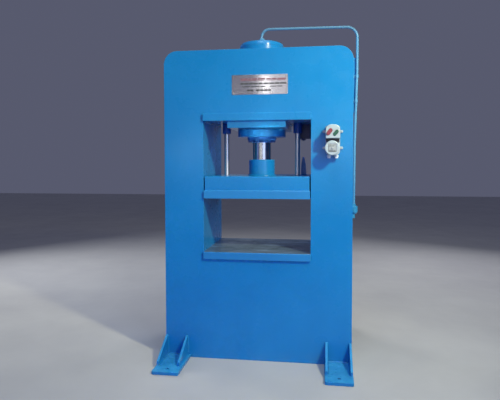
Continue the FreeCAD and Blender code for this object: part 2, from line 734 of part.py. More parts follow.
for side, sx in (("left", -1.0), ("right", 1.0)):
    RG = D.rod_dia / 2
    body = turned("guide_rod_" + side, [(0, D.rod_low), (RG, D.rod_low), (RG, D.rod_top - 3), (RG - 3, D.rod_top),
                                        (0, D.rod_top)])
    put(body, D.rod_off * sx, 0, 0)
    node(body, "guide_rod_" + side)
    RB, RF = D.bush_dia / 2, D.bush_flange / 2
    body = turned("guide_bush_" + side, [
        (RG + D.run_gap, D.bush_low), (RB - 2, D.bush_low), (RB, D.bush_low + 2), (RB, WIN_TOP), (RF, WIN_TOP),
        (RF, WIN_TOP + 12), (RG + D.run_gap, WIN_TOP + 12)])
    put(body, D.rod_off * sx, 0, 0)
    node(body, "guide_bush_" + side)

# trip bar on the platen: a flat bar with a tapered head, it meets the
# switch plunger at the top of the stroke
body = new_body("trip_bar")
sk = new_sketch(body, "XZ_Plane", "trip_bar_outline")
poly(sk, [(228, BLOCK_TOP), (262, BLOCK_TOP), (258, BLOCK_TOP + 60), (248, BLOCK_TOP + 110), (238, BLOCK_TOP + 110),
          (230, BLOCK_TOP + 60)], "p")
pad(body, sk, 12, "trip_bar_pad")
put(body, 0, 146, 0)
node(body, "trip_bar")

# limit switch under the head plate, at the rear right
sw = box("switch_blank", 221, 289, 115, 165, 1258, D.head_low)
sw = soften("Fillet", "switch_edges", sw, lambda e: along(e, "Z"), 6.0)
sw = fuse("switch_body", [sw, cyl("switch_nose", 26, 10, 243, 140, 1250)])
node(cut("limit_switch", sw, [cyl("switch_bore", 14.1, 40, 243, 140, 1246)]), "limit_switch")
node(turned("switch_plunger_turn", [(0, 1246.5), (4, 1246.5), (7, 1250), (7, 1280), (0, 1280)]), "switch_plunger")
put(NODES[-1][1], 243, 140, 0)

# ======================================================================
# Pipe over the crown and down the right side
# ======================================================================
p_top = D.pipe_level.val
node(pipe("feed_pipe",
          [(0, 0, CAP_TOP.val + 7), (0, 0, p_top + D.pipe_rise.val), (D.pipe_x.val, 0, p_top), (D.pipe_x.val, 0, 1640),
           (D.pipe_foot_x.val + 2, 0, 1230), (D.pipe_foot_x.val, 0, D.elbow_z.val + 36)],
          [46, 62, 900, 900], D.pipe_dia, D.pipe_bore), "feed_pipe")

EX = D.pipe_foot_x
elbow = doc.addObject("Part::Sphere", "elbow_ball")
elbow.Radius = 20.5
put(elbow, EX + 1.7, 0, D.elbow_z)
elbow = fuse("elbow_blank", [
    elbow,
    soften("Fillet", "elbow_up_round", cyl("elbow_up", 41, 30, EX + 1.7, 0, D.elbow_z), lambda e: mid(e).z > D.elbow_z.val + 29,
           5.0),
    hexa("elbow_nut", 20, 12, EX, 0, D.elbow_z + 29),
    cyl("elbow_in", 24, 50, HW - D.skin_thk - 14, 0, D.elbow_z, "X"),
    cyl("elbow_plug", 18, 42, EX - 3, 0, D.elbow_z - 42)])
elbow = cut("elbow_trim", elbow, [box("elbow_flat", HW - 60, HW, -40, -12.2, 700, 900),
                                  box("elbow_flat2", HW - 60, HW, 12.2, 40, 700, 900),
                                  box("elbow_flat3", HW - 60, HW, -40, 40, D.elbow_z + 12.2, 900),
                                  box("elbow_flat4", HW - 60, HW, -40, 40, 700, D.elbow_z - 12.2)])
node(cut("side_elbow", elbow, [
    cyl("elbow_bore_up", D.pipe_bore, 60, EX, 0, D.elbow_z),
    cyl("elbow_seat_up", D.pipe_dia + 0.2, 60, EX, 0, D.elbow_z + 35),
    cyl("elbow_bore_in", D.pipe_bore, 60, EX - 60, 0, D.elbow_z, "X"),
    cyl("elbow_seat_in", D.pipe_dia + 0.2, 30, HW - D.skin_thk - 24, 0, D.elbow_z, "X")]), "side_elbow")

# angle bracket that stands out from the side plate behind the pipe
RAIL_OUT = HW + D.rail_out
rail = fuse("pipe_rail_angle", [
    box("rail_web", HW, RAIL_OUT, D.rail_y, D.rail_y + D.rail_thk, 1405, 1722),
    box("rail_foot", HW, HW + D.rail_thk, D.rail_y, D.rail_y + D.rail_foot, 1405, 1655)])
CLIPS = [(1470, 552.65), (1612, 556.65)]
node(cut("pipe_rail", rail, [cyl("rail_hole_%d" % k, 5.2, 30, HW + 9, D.rail_y - 10, z, "Y")
                             for k, (z, px) in enumerate(CLIPS)]), "pipe_rail")

# P-shaped clips round the pipe, one screw each into the bracket
parts = []
for k, (z, px) in enumerate(CLIPS):
    way = q(D.pipe_dia + 0.9)
    clip = fuse("clip_%d_blank" % k, [
        cyl("clip_hoop_%d" % k, way + 4, 16, px, 0, z - 8),
        box("clip_ear_%d" % k, HW + 2, px, D.rail_y - 2, D.rail_y, z - 8, z + 8)])
    parts.append(cut("clip_%d" % k, clip, [
        cyl("clip_way_%d" % k, way, 40, px, 0, z - 20),
        box("clip_back_%d" % k, HW, px + 30, D.rail_y, D.rail_y + 30, z - 20, z + 20),
        cyl("clip_hole_%d" % k, 5.2, 30, HW + 9, D.rail_y - 15, z, "Y")]))
    parts.append(fuse("clip_screw_%d" % k, [
        cyl("clip_screw_head_%d" % k, 9, 3, HW + 9, D.rail_y - 5, z, "Y"),
        cyl("clip_screw_shank_%d" % k, 5, D.rail_thk + 5, HW + 9, D.rail_y - 2, z, "Y")]))
node(group("pipe_clamps", parts), "pipe_clamps")

# ======================================================================
# Name plate (bare)
# ======================================================================
body = new_body("nameplate")
sk = new_sketch(body, "XZ_Plane", "nameplate_outline")
rect(sk, D.plate_cx - D.plate_w / 2, D.plate_cx + D.plate_w / 2, D.plate_cz - D.plate_h / 2,
     D.plate_cz + D.plate_h / 2, "o")
p = pad(body, sk, 1.5, "nameplate_pad")
round_edges(body, p, lambda e: along(e, "Y"), 4, "nameplate_corners")
put(body, 0, -HD, 0)
node(body, "nameplate")

# ======================================================================
# Motor starter on the right column
# ======================================================================
SX = D.st_cx
SW = D.st_wide / 2
YF = -HD
# back box with four ears
tray = box("tray_blank", SX - SW, SX + SW, YF - D.st_tray, YF, D.st_low, D.st_top - 4)
tray = soften("Fillet", "tray_round", tray, lambda e: along(e, "Y") and mid(e).z > 1200, 9.0)
tray = soften("Fillet", "tray_foot_round", tray, lambda e: along(e, "Y") and mid(e).z < D.st_low.val + 1, 24.0)
ears = []
for k, (dx, z) in enumerate(EAR_HOLES):
    ear = box("ear_%d" % k, SX + SW * dx - 17, SX + SW * dx + 17, YF - 6, YF, z - 7, z + 7)
    ears.append(soften("Fillet", "ear_round_%d" % k, ear, lambda e: along(e, "Y"), 6.0))
tray = fuse("tray_ears", [tray] + ears)
inside = box("tray_inside", SX - SW + 3, SX + SW - 3, YF - D.st_tray - 5, YF - 3, D.st_low + 3, D.st_top - 7)
tools = [soften("Fillet", "tray_inside_round", inside, lambda e: along(e, "Y") and mid(e).z < 1200, 21.0)]
for k, (dx, z) in enumerate(EAR_HOLES):
    tools.append(cyl("ear_hole_%d" % k, 5.4, 20, SX + EAR_OFF * dx, YF - 12, z, "Y"))
for k, dx in enumerate((-20, 20)):
    tools.append(cyl("gland_way_%d" % k, 16.2, 16, SX + dx, YF - 22, D.st_low - 4))
node(cut("starter_base", tray, tools), "starter_base")

screws = []
for k, (dx, z) in enumerate(EAR_HOLES):
    s = fuse("ear_screw_%d_blank" % k, [
        cyl("ear_screw_shank_%d" % k, 4.8, 20, SX + EAR_OFF * dx, YF - 6, z, "Y"),
        cyl("ear_screw_head_%d" % k, 9.5, 3, SX + EAR_OFF * dx, YF - 9, z, "Y")])
    x = SX + EAR_OFF * dx
    screws.append(cut("ear_screw_%d" % k, s, [box("ear_screw_slot_%d" % k, x - 6, x + 6, YF - 10, YF - 7.8,
                                                  z - 0.6, z + 0.6)]))
node(group("starter_screws", screws), "starter_screws")

# upper cover with a domed top edge and the two button wells
FRONT = YF - D.st_deep
UP_LOW = 1241
body = new_body("starter_cover_shell")
sk = new_sketch(body, "XZ_Plane", "cover_outline")
rect(sk, SX - SW, SX + SW, UP_LOW, D.st_top, "u")
p = pad(body, sk, D.st_deep - D.st_tray, "cover_pad")
put(body, 0, YF - D.st_tray, 0)
doc.recompute()
front_y = -(D.st_deep.val - D.st_tray.val)
f = round_edges(body, p, lambda e: along(e, "Y") and mid(e).z > UP_LOW + 5, 30, "cover_top_round")
round_edges(body, f, lambda e: abs(mid(e).y - front_y) < 0.01, 4.5, "cover_front_round")
inner = box("cover_inside", SX - SW + 3, SX + SW - 3, FRONT + 3, YF - D.st_tray + 5, UP_LOW + 3, D.st_top - 24)
cover = cut("starter_cover_hollow", body, [inner])


def capsule(name, w, length, tilt, x, y, z, depth):
    """A push-button shape: a slot outline leaning to the right, pushed along Y."""
    b = new_body(name)
    s = new_sketch(b, "XZ_Plane", name + "_outline")
    hl, r = (length - w) / 2.0, w / 2.0
    t = math.radians(tilt)
    ux, uz = math.sin(t), math.cos(t)
    px, pz = uz, -ux
    def pt(along_, across):
        return V(ux * along_ + px * across, uz * along_ + pz * across, 0)
    l1 = s.addGeometry(Part.LineSegment(pt(-hl, r), pt(hl, r)), False)
    l2 = s.addGeometry(Part.LineSegment(pt(hl, -r), pt(-hl, -r)), False)
    a1 = s.addGeometry(Part.Arc(pt(hl, r), pt(hl + r, 0), pt(hl, -r)), False)
    a2 = s.addGeometry(Part.Arc(pt(-hl, -r), pt(-hl - r, 0), pt(-hl, r)), False)
    for i in (l1, l2, a1, a2):
        s.addConstraint(Sketcher.Constraint("Block", i))
    f = pad(b, s, depth, name + "_pad")
    put(b, x, y, z)
    return b, f


RED = (398.5, 1275.5, 20, 40, 36)
GRN = (431.5, 1270, 18, 36, 40)
wells = []
for tag, (bx_, bz_, w, l, t) in (("stop", RED), ("start", GRN)):
    b, f = capsule("well_" + tag, w + 1.0, l + 1.0, t, bx_, FRONT + 17, bz_, 40)
    wells.append(b)
node(cut("starter_cover", cover, wells), "starter_cover")

for tag, (bx_, bz_, w, l, t) in (("stop", RED), ("start", GRN)):
    b, f = capsule(tag + "_button", w, l, t, bx_, FRONT + 12, bz_, 12 + (6 if tag == "stop" else 3))
    doc.recompute()
    fy = -(12 + (6 if tag == "stop" else 3))
    round_edges(b, f, lambda e: abs(mid(e).y - fy) < 0.01, 2.0, tag + "_button_round")
    node(b, tag + "_button")

# round lower cover with a square panel
DZ = D.dial_cz
drum = cyl("dial_drum", D.dial_dia, D.st_deep - D.st_tray, SX - 3, YF - D.st_tray, DZ, "-Y")
drum = soften("Fillet", "dial_edge", drum, lambda e: mid(e).y < FRONT.val + 0.1, 5.0)
panel = box("dial_recess", SX - 3 - 24, SX - 3 + 24, FRONT - 5, FRONT + 1.5, DZ - 24, DZ + 24)
panel = soften("Fillet", "dial_recess_round", panel, lambda e: along(e, "Y"), 6.0)
hollow = cyl("dial_hollow", D.dial_dia - 6, 80, SX - 3, YF - D.st_tray + 30, DZ, "-Y")
hollow_keep = box("dial_hollow_limit", 300, 500, FRONT + 4, YF, 1100, 1300)
hollow_c = doc.addObject("Part::Common", "dial_hollow_space")
hollow_c.Base = hollow
hollow_c.Tool = hollow_keep
flange = box("dial_flange", SX - SW, SX + SW, YF - D.st_tray - 3, YF - D.st_tray, D.st_low, 1222)
flange = soften("Fillet", "dial_flange_round", flange, lambda e: along(e, "Y") and mid(e).z < 1200, 24.0)
node(cut("starter_dial_cover", fuse("dial_blank", [drum, flange]), [panel, hollow_c]), "starter_dial_cover")

# contactor and relay inside, one sealed block; its dark moulding fills the
# gap between the two covers
neck = cut("contactor_neck", box("contactor_neck_blank", SX - 34.5, SX + 34.5, YF - 60, YF - 36, 1222.5, 1240.7), [
    cyl("contactor_neck_curve", D.dial_dia + 1, 60, SX - 3, YF - D.st_tray + 0.5, DZ, "-Y")])
node(fuse("contactor", [
    box("contactor_low", SX - 27, SX + 21, YF - 80, YF - 36, 1168, 1214),
    box("contactor_high", SX - 30, SX + 30, YF - 38, YF - 3, 1168, 1286),
    box("contactor_switch", SX - 30, SX + 30, YF - 76, YF - 38, 1250, 1286),
    neck]), "contactor")

glands = []
for k, dx in enumerate((-20, 20)):
    g1 = fuse("gland_%d_blank" % k, [
        hexa("gland_nut_%d" % k, 20, 7, SX + dx, YF - 22, D.st_low - 7),
        cyl("gland_dome_%d" % k, 18, 8, SX + dx, YF - 22, D.st_low - 15),
        cyl("gland_thread_%d" % k, 16, 11, SX + dx, YF - 22, D.st_low)])
    glands.append(cut("gland_%d" % k, g1, [cyl("gland_bore_%d" % k, 9, 60, SX + dx, YF - 22, D.st_low - 30)]))
node(group("cable_glands", glands), "cable_glands")

# ======================================================================
# Rear cover over the power-pack bay
# ======================================================================
cw = D.cover_wide / 2
cov = box("cover_sheet", -cw, cw, HD, HD + 2, 65, 65 + D.cover_tall)
cov = soften("Fillet", "cover_sheet_round", cov, lambda e: along(e, "Y"), 10.0)
slots = []
for k in range(7):
    s = box("slot_%d" % k, -110, 110, HD - 10, HD + 10, 190 + 30 * k, 200 + 30 * k)
    slots.append(soften("Fillet", "slot_round_%d" % k, s, lambda e: along(e, "Y"), 4.9))
for k, (x, z) in enumerate(COVER_HOLES):
    slots.append(cyl("cover_hole_%d" % k, 6.6, 20, x, HD - 8, z, "Y"))
node(cut("rear_cover", cov, slots), "rear_cover")
screws = []
for k, (x, z) in enumerate(COVER_HOLES):
    s = fuse("cover_screw_%d_blank" % k, [
        cyl("cover_screw_shank_%d" % k, 6, 18, x, HD - 16, z, "Y"),
        cyl("cover_screw_head_%d" % k, 12, 4, x, HD + 2, z, "Y")])
    screws.append(cut("cover_screw_%d" % k, s, [hexa("cover_screw_socket_%d" % k, 4, 6, x, HD + 3.5, z, "Y")]))
node(group("rear_cover_screws", screws), "rear_cover_screws")

# ======================================================================
# Power pack in the base bay
# ======================================================================
TX0 = q(-280)
TX1 = TX0 + D.tank_wide
TY = D.tank_deep / 2
TZ0 = D.tray_thk
TZ1 = TZ0 + D.tank_tall
tank = box("tank_outside", TX0, TX1, -TY, TY, TZ0, TZ1)
node(cut("oil_tank", tank, [box("tank_inside", TX0 + D.tank_wall, TX1 - D.tank_wall, -TY + D.tank_wall, TY - D.tank_wall,
                                TZ0 + D.tank_wall, TZ1 + 10)]), "oil_tank")
lid = box("lid_sheet", TX0 - 5, TX1 + 5, -TY - 5, TY + 5, TZ1, TZ1 + 8)
lid = fuse("lid_blank", [lid, cyl("lid_neck", 44, 14, 30, 150, TZ1 + 8), cyl("lid_breather", 60, 24, 30, 150, TZ1 + 22)])
node(cut("tank_lid", lid, [cyl("lid_pump_hole", 80, 40, -140, 0, TZ1 - 10)]), "tank_lid")
LT = TZ1 + 8
node(fuse("pump_motor", [
    cyl("motor_flange", 200, 14, -140, 0, LT),
    cyl("motor_shell", D.motor_dia, D.motor_tall - 60, -140, 0, LT + 14),
    cyl("motor_cowl", D.motor_dia - 12, 46, -140, 0, LT + D.motor_tall - 46),
    box("motor_box", -90, -40, -45, 45, LT + 60, LT + 150)]), "pump_motor")
node(fuse("gear_pump", [
    cyl("pump_spigot", 78, 32, -140, 0, LT - 32),
    box("pump_block", -185, -95, -45, 45, 170, LT - 32),
    cyl("pump_suction", 28, 120, -140, 0, 55),
    cyl("pump_strainer", 60, 40, -140, 0, 30)]), "gear_pump")
vb = box("valve_block_blank", -5, 70, -70, 110, LT, LT + 90)
node(cut("valve_block", vb, [
    cyl("valve_port_a", D.pipe_dia + 0.2, 20, 52, 0, 330, "X"),
    cyl("valve_port_b", D.pipe_dia + 0.2, 20, 52, 60, 350, "X")]), "valve_block")
node(fuse("solenoid_valve", [
    box("valve_body", 5, 60, -30, 30, LT + 90, LT + 140),
    cyl("valve_coil_a", 42, 55, 32, -30, LT + 115, "-Y"),
    cyl("valve_coil_b", 42, 55, 32, 30, LT + 115, "Y")]), "solenoid_valve")

node(pipe("supply_pipe", [(54, 0, 330), (455, 0, 330), (455, 0, 828), (HW.val - D.skin_thk.val - 1, 0, 828)],
          [45, 36], D.pipe_dia, D.pipe_bore), "supply_pipe")
node(pipe("return_pipe", [(54, 60, 350), (380, 60, 350), (380, 60, 900), (380, 190, 900), (380, 190, 1440),
                          (0, 190, 1440), (0, 131, 1440)],
          [45, 45, 45, 45, 45], D.pipe_dia, D.pipe_bore), "return_pipe")

# ======================================================================
# Check and write
# ======================================================================
doc.recompute()
bad = []
for o in doc.Objects:
    state = [str(s) for s in o.State]
    if "Invalid" in state or "Error" in state:
        bad.append("%s %s" % (o.Name, state))
if bad:
    raise RuntimeError("failed objects: " + "; ".join(bad))
labels = [n for n, o in NODES]
if len(set(labels)) != len(labels):
    raise RuntimeError("node names repeat")
for label, o in NODES:
    if o.Shape.isNull() or not o.Shape.isValid() or len(o.Shape.Solids) < 1:
        raise RuntimeError("bad shape: " + label)
print("nodes", len(NODES))
for label, o in NODES:
    bb = o.Shape.BoundBox
    print("%-20s solids %2d vol %10.1f cm3  x %7.1f %7.1f  y %7.1f %7.1f  z %7.1f %7.1f" % (
        label, len(o.Shape.Solids), o.Shape.Volume / 1000.0, bb.XMin, bb.XMax, bb.YMin, bb.YMax, bb.ZMin, bb.ZMax))
    o.Shape.exportStep(os.path.join("parts", label + ".step"))
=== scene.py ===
import json
import math

import bmesh
import bpy
from mathutils import Matrix, Vector, noise


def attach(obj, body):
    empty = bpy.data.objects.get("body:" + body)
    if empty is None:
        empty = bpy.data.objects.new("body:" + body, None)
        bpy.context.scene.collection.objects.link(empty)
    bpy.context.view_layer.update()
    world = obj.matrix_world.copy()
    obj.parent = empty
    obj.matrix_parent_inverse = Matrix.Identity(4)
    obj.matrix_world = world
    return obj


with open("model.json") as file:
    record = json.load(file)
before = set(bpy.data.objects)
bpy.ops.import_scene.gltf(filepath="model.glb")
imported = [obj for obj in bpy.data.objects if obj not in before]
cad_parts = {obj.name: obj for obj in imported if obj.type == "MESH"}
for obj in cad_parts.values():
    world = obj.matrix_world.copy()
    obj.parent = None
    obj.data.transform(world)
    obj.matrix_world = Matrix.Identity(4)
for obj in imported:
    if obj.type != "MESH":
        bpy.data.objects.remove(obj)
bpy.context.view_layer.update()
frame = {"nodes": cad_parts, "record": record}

NODES = frame["nodes"]
scene = bpy.context.scene

# ----------------------------------------------------------------------
# Camera: the photograph's viewpoint, solved from the frame's own edges
# ----------------------------------------------------------------------
YAW, PITCH, ROLL = 0.1534, 0.0463, -0.0023
fwd = Vector((-math.sin(YAW) * math.cos(PITCH), math.cos(YAW) * math.cos(PITCH), -math.sin(PITCH)))
right = Vector((math.cos(YAW), math.sin(YAW), 0.0))
up = right.cross(fwd)
r2 = right * math.cos(ROLL) + up * math.sin(ROLL)
u2 = up * math.cos(ROLL) - right * math.sin(ROLL)
cam_data = bpy.data.cameras.new("camera")
cam = bpy.data.objects.new("camera", cam_data)
scene.collection.objects.link(cam)
cam.matrix_world = Matrix((
    (r2.x, u2.x, -fwd.x, 0.3804),
    (r2.y, u2.y, -fwd.y, -3.1862),
    (r2.z, u2.z, -fwd.z, 1.1263),
    (0, 0, 0, 1)))
cam_data.sensor_width = 36.0
cam_data.lens = 532.4 / 500.0 * 36.0
cam_data.shift_x = 0.013
cam_data.shift_y = -0.0298
cam_data.dof.use_dof = False
scene.camera = cam

# ----------------------------------------------------------------------
# Studio: pale floor, pale surround, a large key from the upper right and
# two soft fills
# ----------------------------------------------------------------------
world = bpy.data.worlds.new("studio")
scene.world = world
world.use_nodes = True
wn = world.node_tree.nodes
wn["Background"].inputs["Color"].default_value = (0.62, 0.66, 1.0, 1)
wn["Background"].inputs["Strength"].default_value = 0.155
scene.view_settings.view_transform = "Standard"


def area(name, loc, target, size, watts, colour=(1, 1, 1), size_y=None):
    d = bpy.data.lights.new(name, "AREA")
    d.energy = watts
    d.color = colour
    d.size = size
    if size_y:
        d.shape = "RECTANGLE"
        d.size_y = size_y
    o = bpy.data.objects.new(name, d)
    scene.collection.objects.link(o)
    o.location = loc
    o.visible_camera = False
    o.rotation_mode = "QUATERNION"
    o.rotation_quaternion = (Vector(target) - Vector(loc)).to_track_quat("-Z", "Y")
    return o


key = area("key", (1.585, -1.96, 2.56), (0.30, -0.26, 1.30), 0.20, 26.8, (0.98, 0.92, 0.585))
key.data.spread = math.radians(100)
area("near", (1.62, -2.45, 1.50), (0.2, -0.2, 1.2), 1.5, 29, (0.48, 0.58, 0.90), 1.4)
area("strip", (-0.36, -3.9, 2.0), (0, -0.26, 1.5), 0.07, 0.60, (1, 1, 1), 1.2)
soft = area("strip_soft", (-0.17, -3.9, 2.0), (0, -0.26, 1.5), 0.26, 0.40, (0.96, 0.96, 1), 1.2)
soft.visible_diffuse = False
front = area("front", (-0.05, -4.0, 1.30), (-0.25, -0.2, 1.15), 2.2, 7.7, (0.82, 0.775, 1.0), 0.8)
front.visible_glossy = False
area("side", (-3.1, -3.2, 1.5), (0, 0, 1.0), 0.8, 8, (0.28, 0.40, 1.0), 1.8)
over = area("over", (0.25, -1.25, 4.1), (0.1, -0.5, 0.0), 1.4, 13.2, (0.66, 0.84, 1.0))
over.data.spread = math.radians(100)
area("top", (0.2, 0.6, 4.2), (0, 0, 1.0), 2.4, 5, (0.8, 0.9, 1))
back_a = area("rear_right", (2.0, 3.4, 2.3), (0.0, 0.2, 1.2), 1.6, 52, (0.95, 0.95, 1))
back_b = area("rear_left", (-3.3, 2.0, 2.3), (-0.4, 0.2, 1.0), 2.0, 80, (0.95, 0.97, 1))
back_a.visible_glossy = back_b.visible_glossy = False
sheen = area("sheen", (-0.25, -3.9, 1.25), (0.0, -0.05, 1.20), 2.7, 8.6, (0.98, 0.97, 0.98), 0.20)
sheen.visible_diffuse = False
area("rear", (-0.80, 2.6, 1.08), (-0.1, 0.0, 0.62), 1.2, 0.55, (0.85, 0.95, 1), 0.5)
cool = area("low_cool", (-0.7, -3.3, 0.40), (-0.15, -0.26, 0.30), 1.4, 2.1, (0.02, 0.08, 1.0), 0.4)
cool.data.spread = math.radians(60)
cool.visible_glossy = False
low = area("low_spot", (0.30, -2.2, 0.80), (0.03, -0.14, 1.284), 0.08, 0.14, (0.80, 1.0, 0.80))
low.data.spread = math.radians(7)
low.visible_glossy = False


# ----------------------------------------------------------------------
# Node material helpers
# ----------------------------------------------------------------------
class Mat:
    """A procedural material: a Principled shader with named helpers."""

    def __init__(self, name):
        self.m = bpy.data.materials.new(name)
        self.m.use_nodes = True
        self.t = self.m.node_tree
        self.t.nodes.clear()
        self.out = self.node("ShaderNodeOutputMaterial")
        self.b = self.node("ShaderNodeBsdfPrincipled")
        self.t.links.new(self.b.outputs[0], self.out.inputs[0])
        self.pos = self.node("ShaderNodeTexCoord").outputs["Object"]

    def node(self, kind, **props):
        n = self.t.nodes.new(kind)
        for k, v in props.items():
            setattr(n, k, v)
        return n

    def wire(self, a, b):
        self.t.links.new(a, b)

    def put(self, **vals):
        for k, v in vals.items():
            self.b.inputs[k.replace("_", " ")].default_value = v

    def scaled(self, sx, sy, sz, rot=(0, 0, 0)):
        mp = self.node("ShaderNodeMapping")
        mp.inputs["Scale"].default_value = (sx, sy, sz)
        mp.inputs["Rotation"].default_value = rot
        self.wire(self.pos, mp.inputs["Vector"])
        return mp.outputs["Vector"]

    def noise(self, scale, detail=3.0, rough=0.5, vec=None, distort=0.0):
        n = self.node("ShaderNodeTexNoise")
        n.inputs["Scale"].default_value = scale
        n.inputs["Detail"].default_value = detail
        n.inputs["Roughness"].default_value = rough
        n.inputs["Distortion"].default_value = distort
        self.wire(vec if vec is not None else self.pos, n.inputs["Vector"])
        return n.outputs["Fac"]

    def voronoi(self, scale, vec=None, feature="F1", rand=1.0):
        n = self.node("ShaderNodeTexVoronoi", feature=feature)
        n.inputs["Scale"].default_value = scale
        n.inputs["Randomness"].default_value = rand
        self.wire(vec if vec is not None else self.pos, n.inputs["Vector"])
        return n.outputs["Distance"]

    def ramp(self, fac, stops, interp="LINEAR"):
        r = self.node("ShaderNodeValToRGB")
        r.color_ramp.interpolation = interp
        e = r.color_ramp.elements
        while len(e) < len(stops):
            e.new(0.5)
        for el, (p, c) in zip(e, stops):
            el.position = p
            el.color = tuple(c) + (1,) if len(c) == 3 else c
        self.wire(fac, r.inputs["Fac"])
        return r.outputs["Color"]

    def grey(self, fac, a, va, b, vb):
        """Map fac from a..b to va..vb, clamped."""
        n = self.node("ShaderNodeMapRange")
        n.inputs["From Min"].default_value = a
        n.inputs["From Max"].default_value = b
        n.inputs["To Min"].default_value = va
        n.inputs["To Max"].default_value = vb
        self.wire(fac, n.inputs["Value"])
        return n.outputs["Result"]

    def math(self, op, a, b=None, clamp=False):
        n = self.node("ShaderNodeMath", operation=op, use_clamp=clamp)
        for i, v in enumerate((a, b)):
            if v is None:
                continue
            if isinstance(v, (int, float)):
                n.inputs[i].default_value = v
            else:
                self.wire(v, n.inputs[i])
        return n.outputs[0]

    def mix(self, fac, a, b, kind="MIX"):
        n = self.node("ShaderNodeMix", data_type="RGBA", blend_type=kind)
        if isinstance(fac, (int, float)):
            n.inputs[0].default_value = fac
        else:
            self.wire(fac, n.inputs[0])
        for i, v in ((6, a), (7, b)):
            if isinstance(v, (tuple, list)):
                n.inputs[i].default_value = tuple(v) + (1,) if len(v) == 3 else v
            else:
                self.wire(v, n.inputs[i])
        return n.outputs[2]

    def axis(self, which):
        s = self.node("ShaderNodeSeparateXYZ")
        self.wire(self.pos, s.inputs[0])
        return s.outputs[which]

    def facing(self, which):
        g = self.node("ShaderNodeNewGeometry")
        s = self.node("ShaderNodeSeparateXYZ")
        self.wire(g.outputs["Normal"], s.inputs[0])
        return s.outputs[which]

    def edge(self, radius, samples=4):
        """1 on convex and concave edges, 0 on the flats."""
        bev = self.node("ShaderNodeBevel", samples=samples)
        bev.inputs["Radius"].default_value = radius
        geo = self.node("ShaderNodeNewGeometry")
        dot = self.node("ShaderNodeVectorMath", operation="DOT_PRODUCT")
        self.wire(bev.outputs[0], dot.inputs[0])
        self.wire(geo.outputs["Normal"], dot.inputs[1])
        return self.grey(dot.outputs["Value"], 0.70, 1.0, 0.995, 0.0)

    def bump(self, height, strength, distance, soft=None):
        """Bump on top of softened edges; soft is the edge radius."""
        n = self.node("ShaderNodeBump")
        n.inputs["Strength"].default_value = strength
        n.inputs["Distance"].default_value = distance
        self.wire(height, n.inputs["Height"])
        if soft:
            bev = self.node("ShaderNodeBevel", samples=4)
            bev.inputs["Radius"].default_value = soft
            self.wire(bev.outputs[0], n.inputs["Normal"])
        self.wire(n.outputs[0], self.b.inputs["Normal"])
        return n


